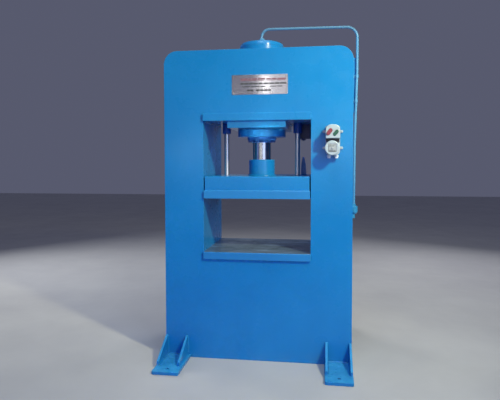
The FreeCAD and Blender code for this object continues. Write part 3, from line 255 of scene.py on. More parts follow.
def enamel(name, main, light, dark, soft=0.0022, wear=0.5, rough=0.24, floor_dirt=False, painted_shade_above=None, turned=False, painted_top_glare=False, grain=0.22):
    """Brushed gloss machine enamel on steel plate."""
    m = Mat(name)
    big = m.noise(1.7, 3, 0.55)
    mid = m.noise(11.0, 4, 0.6)
    fine = m.noise(210.0, 2, 0.5)
    lap = m.noise(3.0, 3, 0.6, vec=m.scaled(7.0, 7.0, 1.1))
    col = m.mix(m.grey(big, 0.34, 0.0, 0.68, 1.0), dark, light)
    col = m.mix(m.grey(mid, 0.30, 0.55, 0.75, 0.0), col, main)
    col = m.mix(m.grey(lap, 0.42, 0.0, 0.72, 0.22), col, dark)
    edge = m.edge(soft * 1.5)
    # painted highlight: every edge is mixed towards a lighter colour, broken a little by noise
    painted_edge_highlight = (min(1, light[0] * 1.9 + 0.025), min(1, light[1] * 1.45 + 0.02), min(1, light[2] * 1.2 + 0.02))
    col = m.mix(m.math("MULTIPLY", edge, m.grey(m.noise(17.0, 3, 0.6), 0.25, 0.35, 0.7, 0.80), True), col, painted_edge_highlight)
    worn = m.math("MULTIPLY", edge, m.grey(m.noise(36.0, 5, 0.65), 0.50, 0.0, 0.64, wear), True)
    col = m.mix(worn, col, (min(1, light[0] * 2.2 + 0.10), min(1, light[1] * 1.25 + 0.06), min(1, light[2] * 1.05 + 0.05)))
    chip = m.math("MULTIPLY", edge, m.grey(m.noise(120.0, 4, 0.6), 0.66, 0.0, 0.70, wear * 1.3), True)
    col = m.mix(chip, col, (0.10, 0.11, 0.12))
    speck = m.grey(m.voronoi(34.0), 0.035, 0.35, 0.055, 0.0)
    speck = m.math("MULTIPLY", speck, m.grey(mid, 0.52, 0.0, 0.60, 1.0))
    col = m.mix(speck, col, (dark[0] * 0.6, dark[1] * 0.6, dark[2] * 0.6))
    if floor_dirt:
        low = m.grey(m.axis(2), 0.0, 1.0, 0.07, 0.0)
        dust = m.math("MULTIPLY", low, m.grey(m.noise(8.0, 5, 0.65), 0.42, 0.0, 0.75, 0.22), True)
        col = m.mix(dust, col, (0.15, 0.21, 0.27))
    # painted highlight: faces that point up are mixed towards a lighter cyan blue, broken by noise; used on the feet
    # and gussets
    if painted_top_glare:
        top = m.math("MULTIPLY", m.grey(m.facing(2), 0.55, 0.0, 0.85, 1.0), m.grey(m.noise(26.0, 5, 0.65), 0.36, 0.35, 0.62, 0.95), True)
        col = m.mix(top, col, (0.045, 0.330, 0.640))
    # painted shade: above the given height the colour is darkened, broken by noise; used on the pipe's top run
    if painted_shade_above:
        high = m.grey(m.axis(2), painted_shade_above - 0.07, 0.0, painted_shade_above, 1.0)
        col = m.mix(m.math("MULTIPLY", high, m.grey(m.noise(12.0, 4, 0.6), 0.3, 0.80, 0.7, 1.0), True), col, (0.090, 0.215, 0.340))
    m.wire(col, m.b.inputs["Base Color"])
    r = m.math("ADD", m.grey(mid, 0.3, rough - 0.05, 0.7, rough + 0.09), m.math("MULTIPLY", chip, 0.35))
    r = m.math("ADD", r, m.grey(m.noise(2.4, 4, 0.6), 0.45, 0.0, 0.75, 0.12))
    m.wire(r, m.b.inputs["Roughness"])
    m.put(Metallic=0.0, Coat_Weight=0.10, Coat_Roughness=0.14, Specular_IOR_Level=0.26)
    h = m.math("ADD", m.math("MULTIPLY", fine, 0.5), m.math("MULTIPLY", mid, 1.0))
    h = m.math("SUBTRACT", h, m.math("MULTIPLY", chip, 1.2))
    m.bump(h, grain, 0.0011, soft)
    if turned:
        tan = m.node("ShaderNodeTangent", direction_type="RADIAL", axis="Z")
        m.wire(tan.outputs[0], m.b.inputs["Tangent"])
        m.put(Anisotropic=0.9, Anisotropic_Rotation=0.25, Specular_IOR_Level=0.7, Coat_Weight=0.0)
    return m


def machined(name, base, rough, metallic=0.92, along=(2.0, 160.0, 160.0), streak=0.35, soft=0.0012, oil=0.3, paint=None, paint_rule=None, glints=0.0):
    """Milled or ground steel: fine lines, stains, scratches and oil."""
    m = Mat(name)
    lines = m.noise(3.0, 4, 0.7, vec=m.scaled(*along))
    broad = m.noise(2.2, 4, 0.6, vec=m.scaled(along[0] * 0.9, along[1] * 0.05, along[2] * 0.05))
    stain = m.noise(9.0, 5, 0.62, distort=0.6)
    spots = m.noise(55.0, 4, 0.6)
    scratch = m.noise(5.0, 2, 0.4, vec=m.scaled(3.0, 420.0, 420.0, (0.0, 0.0, 0.42)))
    scratch = m.grey(scratch, 0.66, 0.0, 0.70, 1.0)
    dark = tuple(c * 0.45 for c in base)
    warm = (base[0] * 0.75, base[1] * 0.66, base[2] * 0.55)
    col = m.mix(m.grey(lines, 0.3, 0.0, 0.7, streak), base, dark)
    col = m.mix(m.grey(broad, 0.40, 0.0, 0.66, 0.55), col, tuple(min(1, c * 1.45) for c in base))
    col = m.mix(m.grey(stain, 0.50, 0.0, 0.70, 0.55), col, dark)
    col = m.mix(m.math("MULTIPLY", m.grey(stain, 0.58, 0.0, 0.66, 0.6), m.grey(spots, 0.45, 0.0, 0.6, 1.0)), col, warm)
    col = m.mix(m.math("MULTIPLY", scratch, 0.5), col, tuple(min(1, c * 1.9) for c in base))
    if glints:
        # painted highlight: lighter streaks running along x on the table steel; the dings below are dark marks
        glint_streaks = m.noise(1.0, 3, 0.55, vec=m.scaled(5.0, 34.0, 34.0, (0.0, 0.0, 0.05)))
        col = m.mix(m.grey(glint_streaks, 0.60, 0.0, 0.67, glints), col, tuple(min(1, c * 2.3) for c in base))
        ding = m.grey(m.voronoi(13.0), 0.035, 0.9, 0.06, 0.0)
        col = m.mix(ding, col, tuple(c * 0.12 for c in base))
    edge = m.edge(soft * 1.5)
    col = m.mix(m.math("MULTIPLY", edge, 0.5), col, tuple(min(1, c * 1.8) for c in base))
    r = m.math("ADD", m.grey(stain, 0.35, rough - 0.05, 0.70, rough + 0.16), m.math("MULTIPLY", lines, 0.10))
    r = m.math("SUBTRACT", r, m.grey(m.noise(4.0, 3, 0.5), 0.55, 0.0, 0.75, oil * 0.5))
    if paint is None:
        m.wire(col, m.b.inputs["Base Color"])
        m.wire(r, m.b.inputs["Roughness"])
        m.put(Metallic=metallic)
    else:
        which, low, high = paint_rule
        bare = m.grey(m.facing(which), low, 0.0, high, 1.0)
        worn = m.noise(40.0, 4, 0.6)
        bare = m.math("MAXIMUM", bare, m.math("MULTIPLY", edge, m.grey(worn, 0.52, 0.0, 0.60, 0.7)), True)
        big = m.noise(2.0, 3, 0.55)
        pc = m.mix(m.grey(big, 0.34, 0.0, 0.68, 1.0), paint[2], paint[1])
        m.wire(m.mix(bare, pc, col), m.b.inputs["Base Color"])
        m.wire(m.math("ADD", m.math("MULTIPLY", r, bare), m.math("MULTIPLY", m.math("SUBTRACT", 1.0, bare), 0.42)),
               m.b.inputs["Roughness"])
        m.wire(m.math("MULTIPLY", bare, metallic), m.b.inputs["Metallic"])
    h = m.math("ADD", lines, m.math("MULTIPLY", scratch, -0.8))
    m.bump(h, 0.16, 0.0004, soft)
    return m


def polished(name, base=(0.62, 0.63, 0.65), rough=0.07, rings=900.0):
    """Hard-chromed, ground rod: very fine turned rings, a thin oil film."""
    m = Mat(name)
    ring = m.noise(1.0, 3, 0.6, vec=m.scaled(2.0, 2.0, rings))
    film = m.noise(14.0, 4, 0.6, vec=m.scaled(1.0, 1.0, 0.25))
    wipe = m.noise(7.0, 3, 0.6, vec=m.scaled(5.0, 5.0, 0.5))
    col = m.mix(m.grey(film, 0.45, 0.0, 0.75, 0.35), base, tuple(c * 0.78 for c in base))
    col = m.mix(m.grey(wipe, 0.62, 0.0, 0.72, 0.25), col, (base[0] * 0.72, base[1] * 0.66, base[2] * 0.56))
    m.wire(col, m.b.inputs["Base Color"])
    m.wire(m.math("ADD", m.grey(film, 0.35, rough, 0.75, rough + 0.06), m.math("MULTIPLY", ring, 0.03)), m.b.inputs["Roughness"])
    m.put(Metallic=1.0)
    m.bump(ring, 0.02, 0.0001)
    return m


def plastic(name, base, rough=0.32, soft=0.0016, grain=520.0, grime=0.35, coat=0.0):
    m = Mat(name)
    tone = m.noise(16.0, 3, 0.5)
    fine = m.noise(grain, 2, 0.5)
    dirt = m.noise(38.0, 5, 0.65)
    dark = tuple(c * 0.72 for c in base)
    col = m.mix(m.grey(tone, 0.35, 0.0, 0.70, 0.35), base, tuple(min(1, c * 1.07) for c in base))
    col = m.mix(m.math("MULTIPLY", m.grey(dirt, 0.50, 0.0, 0.72, grime), 1.0), col, dark)
    edge = m.edge(soft * 1.6)
    col = m.mix(m.math("MULTIPLY", edge, 0.18), col, tuple(min(1, c * 1.25 + 0.02) for c in base))
    m.wire(col, m.b.inputs["Base Color"])
    m.wire(m.grey(tone, 0.3, rough - 0.05, 0.7, rough + 0.10), m.b.inputs["Roughness"])
    m.put(Metallic=0.0, Coat_Weight=coat, Coat_Roughness=0.08, Specular_IOR_Level=0.5)
    m.bump(fine, 0.12, 0.0003, soft)
    return m


def metal(name, base, rough, metallic=1.0, soft=0.0009, mottling=70.0, tint=None):
    """Plated, blackened or turned small parts."""
    m = Mat(name)
    a = m.noise(mottling, 4, 0.6)
    b = m.noise(mottling * 7.0, 3, 0.5)
    t = tint or tuple(c * 0.6 for c in base)
    col = m.mix(m.grey(a, 0.38, 0.0, 0.68, 0.65), base, t)
    edge = m.edge(soft * 1.5)
    col = m.mix(m.math("MULTIPLY", edge, m.grey(b, 0.35, 0.2, 0.6, 0.75)), col, tuple(min(1, c * 1.5 + 0.08) for c in base))
    m.wire(col, m.b.inputs["Base Color"])
    m.wire(m.grey(a, 0.3, rough - 0.06, 0.7, rough + 0.14), m.b.inputs["Roughness"])
    m.put(Metallic=metallic)
    m.bump(m.math("ADD", a, m.math("MULTIPLY", b, 0.5)), 0.14, 0.0004, soft)
    return m


# ----------------------------------------------------------------------
# The finishes
# ----------------------------------------------------------------------
BLUE = ((0.007, 0.198, 0.500), (0.010, 0.220, 0.535), (0.005, 0.170, 0.452))
blue = enamel("blue_enamel", BLUE[0], BLUE[1], BLUE[2], floor_dirt=True)
foot_blue = enamel("foot_enamel", BLUE[0], BLUE[1], BLUE[2], soft=0.0030, wear=0.7, floor_dirt=True, painted_top_glare=True)
pipe_blue = enamel("pipe_enamel", (0.09, 0.31, 0.55), (0.13, 0.38, 0.62), (0.05, 0.24, 0.50), soft=0.0008, wear=0.15, rough=0.32, painted_shade_above=1.90, grain=0.04)
elbow_blue = enamel("elbow_enamel", (0.03, 0.27, 0.52), (0.06, 0.34, 0.60), (0.02, 0.20, 0.45), soft=0.0016, wear=0.4, rough=0.20)
# painted shade: a darker copy of the blue paint for the gland bolts, for the shadow under the flange
gland_shaded_blue = enamel("gland_shaded_enamel", (0.010, 0.075, 0.25), (0.016, 0.10, 0.30), (0.007, 0.055, 0.19), soft=0.0012, wear=0.6, rough=0.50)
# painted shade: the saddle gets the blue paint darkened to about 0.84, for the shade under the head plate's lip
saddle_shaded_blue = enamel("saddle_shaded_enamel", (0.006, 0.158, 0.420), (0.009, 0.178, 0.455), (0.004, 0.138, 0.380), soft=0.0022, wear=0.5)
cap_blue = enamel("cap_enamel", BLUE[0], BLUE[1], BLUE[2], soft=0.0030, wear=0.4, rough=0.30, turned=True)
# painted shade: a darker copy of the blue paint for the flange, which sits in the saddle's shadow
flange_shaded_blue = enamel("flange_shaded_enamel", (0.012, 0.150, 0.43), (0.016, 0.175, 0.47), (0.009, 0.115, 0.36), soft=0.0016, wear=0.5, rough=0.26)
# painted shade: a dark copy of the blue paint for the gland ring and guide bushes, which sit in the shade under the
# head
bush_shaded_blue = enamel("bush_shaded_enamel", (0.012, 0.080, 0.30), (0.018, 0.10, 0.34), (0.008, 0.060, 0.24), soft=0.0012, wear=0.5, rough=0.50)
# painted shade: the limit-switch parts get a very dark navy, the press blue as it looks in deep shade under the head
switch_shaded_navy = enamel("switch_shaded_enamel", (0.016, 0.030, 0.105), (0.022, 0.040, 0.130), (0.011, 0.020, 0.075), soft=0.0012, wear=0.4, rough=0.38)
motor_grey = enamel("motor_enamel", (0.045, 0.055, 0.070), (0.060, 0.070, 0.088), (0.030, 0.038, 0.050), soft=0.0015, wear=0.4, rough=0.38)
table_top = machined("table_steel", (0.160, 0.255, 0.370), 0.33, metallic=0.60, along=(2.0, 150.0, 150.0), streak=0.6, glints=0.75, paint=BLUE, paint_rule=(2, 0.88, 0.97))
platen_low = machined("platen_steel", (0.30, 0.31, 0.32), 0.34, paint=BLUE, paint_rule=(2, -0.45, -0.75))
steel_block = machined("block_steel", (0.30, 0.31, 0.33), 0.36, along=(120.0, 3.0, 120.0))
chrome = polished("hard_chrome", (0.33, 0.34, 0.35), rough=0.20)
ground = polished("ground_rod", (0.55, 0.56, 0.57), rough=0.36, rings=500.0)
black_bolt = metal("blackened_steel", (0.050, 0.052, 0.056), 0.38, metallic=0.85)
zinc = metal("zinc_plate", (0.58, 0.59, 0.60), 0.30, tint=(0.50, 0.48, 0.40))
fitting = metal("plated_fitting", (0.46, 0.47, 0.48), 0.28, tint=(0.34, 0.35, 0.33))
iron = metal("turned_iron", (0.20, 0.20, 0.21), 0.42, metallic=0.8)
rubber = plastic("seal_rubber", (0.018, 0.018, 0.019), rough=0.62, grime=0.2)
abs_white = plastic("starter_plastic", (0.35, 0.44, 0.50), rough=0.30, grime=0.45, coat=0.15)
gland_white = plastic("gland_nylon", (0.62, 0.71, 0.77), rough=0.32, grime=0.30, coat=0.1)
dark_plastic = plastic("dark_moulding", (0.022, 0.023, 0.025), rough=0.42)
red_plastic = plastic("red_moulding", (0.22, 0.035, 0.055), rough=0.20, grime=0.25, coat=0.4)
green_plastic = plastic("green_moulding", (0.014, 0.085, 0.055), rough=0.20, grime=0.25, coat=0.4)


def nameplate_metal():
    m = Mat("brushed_nameplate")
    lines = m.noise(2.0, 4, 0.7, vec=m.scaled(3.0, 700.0, 700.0))
    tone = m.noise(7.0, 4, 0.6)
    col = m.mix(m.grey(lines, 0.3, 0.0, 0.7, 0.45), (0.98, 0.95, 0.95), (0.78, 0.75, 0.77))
    col = m.mix(m.grey(tone, 0.45, 0.0, 0.75, 0.30), col, (0.80, 0.70, 0.70))
    m.wire(col, m.b.inputs["Base Color"])
    m.wire(m.grey(lines, 0.3, 0.12, 0.7, 0.16), m.b.inputs["Roughness"])
    m.put(Metallic=0.97, Anisotropic=0.85, Anisotropic_Rotation=0.25)
    tan = m.node("ShaderNodeTangent", direction_type="RADIAL", axis="Z")
    m.wire(tan.outputs[0], m.b.inputs["Tangent"])
    m.bump(lines, 0.05, 0.0003, 0.0006)
    return m


plate_metal = nameplate_metal()
ink_dark = plastic("plate_ink_dark", (0.045, 0.050, 0.052), rough=0.42, grime=0.3, soft=0.0003)
ink_red = plastic("plate_ink_red", (0.21, 0.072, 0.095), rough=0.40, grime=0.3, soft=0.0003)
label_grey = plastic("starter_label", (0.29, 0.33, 0.36), rough=0.36, grime=0.8, soft=0.0005)

FINISH = {
    "blue_paint": blue, "pipe_paint": pipe_blue, "machined_steel": steel_block, "chrome_rod": chrome,
    "black_bolts": black_bolt, "zinc_screws": zinc, "plated_fitting": fitting,
    "iron_piston": iron, "seal_rubber": rubber, "plate_metal": plate_metal, "starter_plastic": abs_white,
    "dark_plastic": dark_plastic, "red_button": red_plastic, "green_button": green_plastic,
    "switch_paint": switch_shaded_navy, "motor_paint": motor_grey,
}
SLOT = {s["node"]: s["material_slot"] for s in frame["record"]["subparts"]}
for name, o in NODES.items():
    o.data.materials.clear()
    o.data.materials.append(FINISH[SLOT[name]].m)
NODES["table_plate"].data.materials[0] = table_top.m
NODES["cap_fitting"].data.materials[0] = pipe_blue.m
NODES["pipe_clamps"].data.materials[0] = pipe_blue.m
NODES["side_elbow"].data.materials[0] = elbow_blue.m
NODES["gland_bolts"].data.materials[0] = gland_shaded_blue.m
NODES["cable_glands"].data.materials[0] = gland_white.m
NODES["head_flange"].data.materials[0] = flange_shaded_blue.m
NODES["gland_ring"].data.materials[0] = bush_shaded_blue.m
NODES["cylinder_saddle"].data.materials[0] = saddle_shaded_blue.m
NODES["cylinder_cap"].data.materials[0] = cap_blue.m
for name in ("foot_plate_fl", "foot_plate_fr", "foot_plate_rl", "foot_plate_rr", "gussets_front", "gussets_rear"):
    NODES[name].data.materials[0] = foot_blue.m
for name in ("guide_bush_left", "guide_bush_right"):
    NODES[name].data.materials[0] = bush_shaded_blue.m
for name in ("guide_rod_left", "guide_rod_right"):
    NODES[name].data.materials[0] = ground.m
NODES["platen_plate"].data.materials[0] = platen_low.m


# ----------------------------------------------------------------------
# Mesh helpers
# ----------------------------------------------------------------------
def finish_piece(name, bm, mat, body, smooth=math.radians(38)):
    bmesh.ops.recalc_face_normals(bm, faces=bm.faces)
    me = bpy.data.meshes.new(name)
    bm.to_mesh(me)
    bm.free()
    o = bpy.data.objects.new(name, me)
    scene.collection.objects.link(o)
    me.materials.append(mat.m)
    for p in me.polygons:
        p.use_smooth = True
    if smooth:
        me.set_sharp_from_angle(angle=smooth)
    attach(o, body)
    return o


def bead(bm, path, u, v, r, pitch=0.0032, flat=None, closed=False, seed=0.0):
    """A weld bead along path. u and v point from the corner along the two
    faces; flat=(half width, height) lays it on a face whose normal is v."""
    pts = [Vector(p) for p in path]
    lens = [0.0]
    for a, b in zip(pts, pts[1:]):
        lens.append(lens[-1] + (b - a).length)
    total = lens[-1]
    n = max(4, int(total / (pitch / 3.0)))
    segs = 8 if flat else 6
    rings = []
    k = 0
    for i in range(n + 1):
        s = total * i / n
        while k < len(lens) - 2 and s > lens[k + 1]:
            k += 1
        t = (s - lens[k]) / max(1e-9, lens[k + 1] - lens[k])
        c = pts[k].lerp(pts[k + 1], t)
        d = (pts[k + 1] - pts[k]).normalized()
        uu = u(c) if callable(u) else Vector(u)
        vv = v(c) if callable(v) else Vector(v)
        ph = (s / pitch) % 1.0
        rip = 0.10 * (1.0 - ph) - 0.05
        wob = 0.10 * noise.noise(Vector((s * 60.0, seed, 0.3))) + 0.06 * noise.noise(Vector((s * 210.0, seed, 1.7)))
        end = 1.0
        if not closed:
            e = min(s, total - s) / (r if not flat else flat[0])
            end = min(1.0, math.sqrt(max(0.0, min(1.0, e))) * 1.0)
            end = max(end, 0.05)
        ring = []
        for j in range(segs + 1):
            if flat:
                a = math.pi * j / segs
                w, h = flat
                x = w * math.cos(a) * (1 + wob) * end
                y = h * math.sin(a) * (1 + rip * 1.6 + wob) * end
                q = c + uu * x + vv * y
                back = math.sin(a)
            else:
                a = math.pi / 2 * j / segs
                rr = r * (1 + rip + wob) * end
                x = rr * math.cos(a)
                y = rr * math.sin(a)
                sag = 1.0 - 0.10 * math.sin(2 * a)
                q = c + uu * x * sag + vv * y * sag
                back = math.sin(2 * a)
            q -= d * pitch * 0.55 * back * end
            ring.append(bm.verts.new(q))
        rings.append(ring)
    for a, b in zip(rings, rings[1:]):
        for j in range(segs):
            bm.faces.new((a[j], a[j + 1], b[j + 1], b[j]))


def lathe(bm, profile, origin, axis, segs=28):
    """Revolve (radius, height) points about axis at origin."""
    z = Vector(axis).normalized()
    x = z.orthogonal().normalized()
    y = z.cross(x)
    o = Vector(origin)
    rows = []
    for r, h in profile:
        if r < 1e-7:
            rows.append([bm.verts.new(o + z * h)])
        else:
            rows.append([bm.verts.new(o + z * h + (x * math.cos(2 * math.pi * i / segs) + y * math.sin(2 * math.pi * i / segs)) * r)
                         for i in range(segs)])
    for a, b in zip(rows, rows[1:]):
        for i in range(segs):
            j = (i + 1) % segs
            if len(a) == 1 and len(b) > 1:
                bm.faces.new((a[0], b[i], b[j]))
            elif len(b) == 1 and len(a) > 1:
                bm.faces.new((a[i], a[j], b[0]))
            elif len(a) > 1:
                bm.faces.new((a[i], a[j], b[j], b[i]))


def slab(bm, outline, y0, y1, inset=0.0):
    """A thin plate: outline in (x, z), from y0 to the face y1, its face edge eased by inset."""
    n = len(outline)
    cx = sum(p[0] for p in outline) / n
    cz = sum(p[1] for p in outline) / n

    def ring(y, k):
        out = []
        for x, z in outline:
            d = math.hypot(x - cx, z - cz)
            f = 1.0 - k / d if d > 0 else 1.0
            out.append(bm.verts.new((cx + (x - cx) * f, y, cz + (z - cz) * f)))
        return out

    rows = [ring(y0, 0.0)]
    if inset:
        rows.append(ring(y1 + (y0 - y1) * 0.35, 0.0))
        rows.append(ring(y1 + (y0 - y1) * 0.10, inset * 0.4))
    rows.append(ring(y1, inset))
    for a, b in zip(rows, rows[1:]):
        for i in range(n):
            j = (i + 1) % n
            bm.faces.new((a[i], a[j], b[j], b[i]))
    bm.faces.new(rows[-1])
    bm.faces.new(list(reversed(rows[0])))


def round_rect(x0, x1, z0, z1, r, steps=5):
    pts = []
    for cx, cz, a0 in ((x1 - r, z1 - r, 0), (x0 + r, z1 - r, 90), (x0 + r, z0 + r, 180), (x1 - r, z0 + r, 270)):
        for i in range(steps + 1):
            a = math.radians(a0 + 90.0 * i / steps)
            pts.append((cx + r * math.cos(a), cz + r * math.sin(a)))
    return pts


X, Y, Z = Vector((1, 0, 0)), Vector((0, 1, 0)), Vector((0, 0, 1))

# ----------------------------------------------------------------------
# Weld beads
# ----------------------------------------------------------------------
bm = bmesh.new()
HW, HD, FT = 0.525, 0.260, 0.016
gus_x = [(-0.524, -0.512), (-0.407, -0.395), (0.383, 0.395), (0.512, 0.524)]
k = 0
for sy in (-1, 1):
    for x0, x1 in gus_x:
        for face, sx in ((x0, -1), (x1, 1)):
            k += 1
            if abs(face) > 0.5235:
                continue
            bead(bm, [(face, sy * 0.262, FT), (face, sy * 0.442, FT)], X * sx, Z, 0.0055, seed=k)
            bead(bm, [(face, sy * HD, FT + 0.002), (face, sy * HD, 0.122)], X * sx, Y * sy, 0.0055, seed=k + 40)
        xm = (x0 + x1) / 2
        bead(bm, [(x0, sy * 0.445, FT), (x1, sy * 0.445, FT)], Y * sy, Z, 0.005, seed=k + 80)
    for sx in (-1, 1):
        a, b = sx * 0.396, sx * 0.511
        bead(bm, [(a, sy * HD, FT), (b, sy * HD, FT)], Y * sy, Z, 0.0055, seed=k + 90)
finish_piece("foot_welds", bm, blue, "frame_body")

bm = bmesh.new()
for sy in (-1, 1):
    bead(bm, [(-0.298, sy * HD, 0.572), (0.298, sy * HD, 0.572)], Y * sy, -Z, 0.006, seed=3 + sy)
    bead(bm, [(-0.298, sy * HD, 1.387), (0.298, sy * HD, 1.387)], Y * sy, Z, 0.003, seed=7 + sy)
    for sx in (-1, 1):
        bead(bm, [(sx * 0.300, sy * HD, 0.574), (sx * 0.300, sy * HD, 0.608)], X * sx, Y * sy, 0.005, seed=11 + sx + 2 * sy)
        bead(bm, [(sx * 0.300, sy * HD, 1.349), (sx * 0.300, sy * HD, 1.385)], X * sx, Y * sy, 0.005, seed=17 + sx + 2 * sy)
# head plate along the inner column plates
for sx in (-1, 1):
    bead(bm, [(sx * 0.300, -0.234, 1.347), (sx * 0.300, 0.234, 1.347)], -X * sx, -Z, 0.006, seed=23 + sx)
    # saddle plate under the head
    bead(bm, [(sx * 0.162, -0.261, 1.347), (sx * 0.162, 0.261, 1.347)], X * sx, -Z, 0.005, seed=27 + sx)
for sy in (-1, 1):
    bead(bm, [(-0.160, sy * 0.263, 1.347), (0.160, sy * 0.263, 1.347)], Y * sy, -Z, 0.004, seed=31 + sy)
finish_piece("window_welds", bm, blue, "frame_body")

# long seams where the side plates meet the front and rear plates, and the
# seam over the crown
bm = bmesh.new()
for sy in (-1, 1):
    for sx in (-1, 1):
        path = [(sx * HW, sy * 0.235, 0.004), (sx * HW, sy * 0.235, 1.665)]
        bead(bm, path, Y, X * sx, 0.004, pitch=0.006, flat=(0.0042, 0.0011), seed=40 + sx + 2 * sy)
        arc = []
        for i in range(25):
            a = math.radians(90.0 * i / 24)
            arc.append((sx * (0.450 + 0.075 * math.cos(a)), sy * 0.235, 1.665 + 0.075 * math.sin(a)))
        bead(bm, arc, Y, lambda c, sx=sx: Vector((c.x - sx * 0.450, 0, c.z - 1.665)).normalized(), 0.004, pitch=0.006,
             flat=(0.0042, 0.0011), seed=50 + sx + 2 * sy)
        bead(bm, [(sx * 0.450, sy * 0.235, 1.740), (sx * 0.002, sy * 0.235, 1.740)], Y, Z, 0.004, pitch=0.006,
             flat=(0.0042, 0.0011), seed=60 + sx + 2 * sy)
for sy in (-1, 1):
    bead(bm, [(0, sy * 0.233, 1.740), (0, sy * 0.136, 1.740)], X, Z, 0.004, pitch=0.005, flat=(0.006, 0.0018), seed=70 + sy)
finish_piece("seam_welds", bm, blue, "frame_body")

bm = bmesh.new()
ring = [(0.1305 * math.cos(math.radians(a)), 0.1305 * math.sin(math.radians(a)), 1.740) for a in range(0, 361, 3)]
bead(bm, ring, lambda c: Vector((c.x, c.y, 0)).normalized(), Z, 0.008, pitch=0.0045, closed=True, seed=77)
finish_piece("crown_weld", bm, blue, "frame_body")

bm = bmesh.new()
ring = [(0.0775 * math.cos(math.radians(a)), 0.0775 * math.sin(math.radians(a)), 1.037) for a in range(0, 361, 4)]
bead(bm, ring, lambda c: Vector((c.x, c.y, 0)).normalized(), Z, 0.007, pitch=0.004, closed=True, seed=81)
bead(bm, [(0.229, 0.134, 1.037), (0.261, 0.134, 1.037)], -Y, Z, 0.004, seed=84)
bead(bm, [(0.229, 0.146, 1.037), (0.261, 0.146, 1.037)], Y, Z, 0.004, seed=85)
finish_piece("boss_weld", bm, blue, "platen_body")

bm = bmesh.new()
bead(bm, [(HW, 0.0082, 1.408), (HW, 0.0082, 1.655)], -Y, X, 0.004, seed=90)
bead(bm, [(HW, 0.0402, 1.408), (HW, 0.0402, 1.653)], Y, X, 0.004, seed=91)
finish_piece("bracket_welds", bm, blue, "frame_body")

# ----------------------------------------------------------------------
# Name plate: bare, with ruled lines and four rivets
# ----------------------------------------------------------------------
PX0, PX1, PZ0, PZ1 = -0.136, 0.174, 1.489, 1.597
FACE = -0.2615
bm = bmesh.new()
for x in (PX0 + 0.008, PX1 - 0.008):
    for z in (PZ0 + 0.008, PZ1 - 0.008):
        lathe(bm, [(0.0, 0.0009), (0.0012, 0.0008), (0.0021, 0.0005), (0.0025, 0.0001), (0.0025, -0.0005)],
              (x, FACE, z), (0, -1, 0), 24)
finish_piece("plate_rivets", bm, fitting, "frame_body")


def rules(bm, rows):
    for z, h, spans in rows:
        for a, b in spans:
            r = min(h * 0.35, 0.0012)
            slab(bm, round_rect(PX0 + (PX1 - PX0) * a, PX0 + (PX1 - PX0) * b, z - h / 2, z + h / 2, r, 3), FACE + 0.0002, FACE - 0.00022, 0.0)


bm = bmesh.new()
rules(bm, [(PZ1 - 0.0235, 0.0062, [(0.155, 0.285), (0.30, 0.345), (0.36, 0.455), (0.47, 0.60), (0.62, 0.70), (0.715, 0.80), (0.815, 0.965)]),
           (PZ1 - 0.0310, 0.0036, [(0.155, 0.255), (0.27, 0.44), (0.455, 0.58), (0.63, 0.79), (0.80, 0.95)])])
finish_piece("plate_rule_red", bm, ink_red, "frame_body")
bm = bmesh.new()
rules(bm, [
    (PZ1 - 0.0490, 0.0082, [(0.155, 0.215), (0.225, 0.30), (0.315, 0.38), (0.39, 0.47), (0.485, 0.55), (0.57, 0.66), (0.675, 0.76), (0.77, 0.85), (0.86, 0.975)]),
    (PZ1 - 0.0650, 0.0050, [(0.19, 0.33), (0.345, 0.40), (0.41, 0.50), (0.52, 0.60), (0.69, 0.80), (0.815, 0.90)]),
    (PZ1 - 0.0860, 0.0098, [(0.275, 0.325), (0.335, 0.385), (0.44, 0.50), (0.51, 0.57), (0.58, 0.64), (0.65, 0.70)]),
])
x0, x1, z0, z1 = PX0 + 0.0035, PX1 - 0.0035, PZ0 + 0.0035, PZ1 - 0.0035
w = 0.0007
for a in ((x0, x1, z1 - w, z1), (x0, x1, z0, z0 + w), (x0, x0 + w, z0, z1), (x1 - w, x1, z0, z1)):
    slab(bm, [(a[0], a[2]), (a[1], a[2]), (a[1], a[3]), (a[0], a[3])], FACE + 0.0002, FACE - 0.00015)
finish_piece("plate_rules", bm, ink_dark, "frame_body")

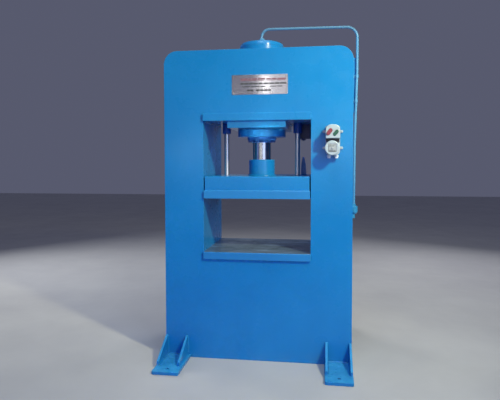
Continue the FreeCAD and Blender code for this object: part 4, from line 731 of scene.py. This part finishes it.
# ----------------------------------------------------------------------
# Starter details
# ----------------------------------------------------------------------
SX, SZ = 0.4135, 1.191
PF = -0.3535                    # recessed face of the square panel
bm = bmesh.new()
slab(bm, round_rect(SX - 0.0225, SX + 0.0225, SZ - 0.0225, SZ + 0.0225, 0.005, 5), PF + 0.0002, PF - 0.0007, 0.0006)
finish_piece("starter_label_plate", bm, label_grey, "frame_body")
bm = bmesh.new()
for z, spans in ((0.0150, [(-0.017, -0.004), (0.001, 0.016)]), (0.0095, [(-0.017, 0.010)]), (-0.0130, [(-0.017, 0.002), (0.006, 0.016)]),
                 (-0.0175, [(-0.017, 0.016)])):
    for a, b in spans:
        slab(bm, [(SX + a, SZ + z - 0.0010), (SX + b, SZ + z - 0.0010), (SX + b, SZ + z + 0.0010), (SX + a, SZ + z + 0.0010)],
             PF - 0.0006, PF - 0.0009)
for x0, x1, z0, z1 in ((-0.0205, -0.0190, -0.020, 0.020), (0.0190, 0.0205, -0.020, 0.020), (-0.019, 0.019, -0.0215, -0.0195)):
    slab(bm, [(SX + x0, SZ + z0), (SX + x1, SZ + z0), (SX + x1, SZ + z1), (SX + x0, SZ + z1)], PF - 0.0006, PF - 0.0009)
finish_piece("starter_label_rules", bm, ink_dark, "frame_body")
bm = bmesh.new()
lathe(bm, [(0.0, 0.0016), (0.0050, 0.0015), (0.0062, 0.0008), (0.0066, -0.0002), (0.0076, -0.0002), (0.0080, 0.0006), (0.0086, 0.0006),
           (0.0090, -0.0004)], (SX, PF - 0.0006, SZ - 0.0015), (0, -1, 0), 36)
finish_piece("starter_dial_screw", bm, label_grey, "frame_body")

# ----------------------------------------------------------------------
# Floor
# ----------------------------------------------------------------------
fm = Mat("studio_floor")
spread = fm.noise(1.3, 4, 0.6)
fm.wire(fm.mix(fm.grey(spread, 0.35, 0.0, 0.7, 1.0), (0.46, 0.46, 0.46), (0.52, 0.52, 0.51)), fm.b.inputs["Base Color"])
fm.wire(fm.grey(fm.noise(5.0, 4, 0.6), 0.3, 0.45, 0.7, 0.62), fm.b.inputs["Roughness"])
fm.bump(fm.noise(60.0, 3, 0.5), 0.05, 0.0006)
bm = bmesh.new()
bmesh.ops.create_grid(bm, x_segments=8, y_segments=8, size=14.0)
me = bpy.data.meshes.new("floor")
bm.to_mesh(me)
bm.free()
floor = bpy.data.objects.new("floor", me)
floor.location = (0, 0, -0.0005)
scene.collection.objects.link(floor)
me.materials.append(fm.m)
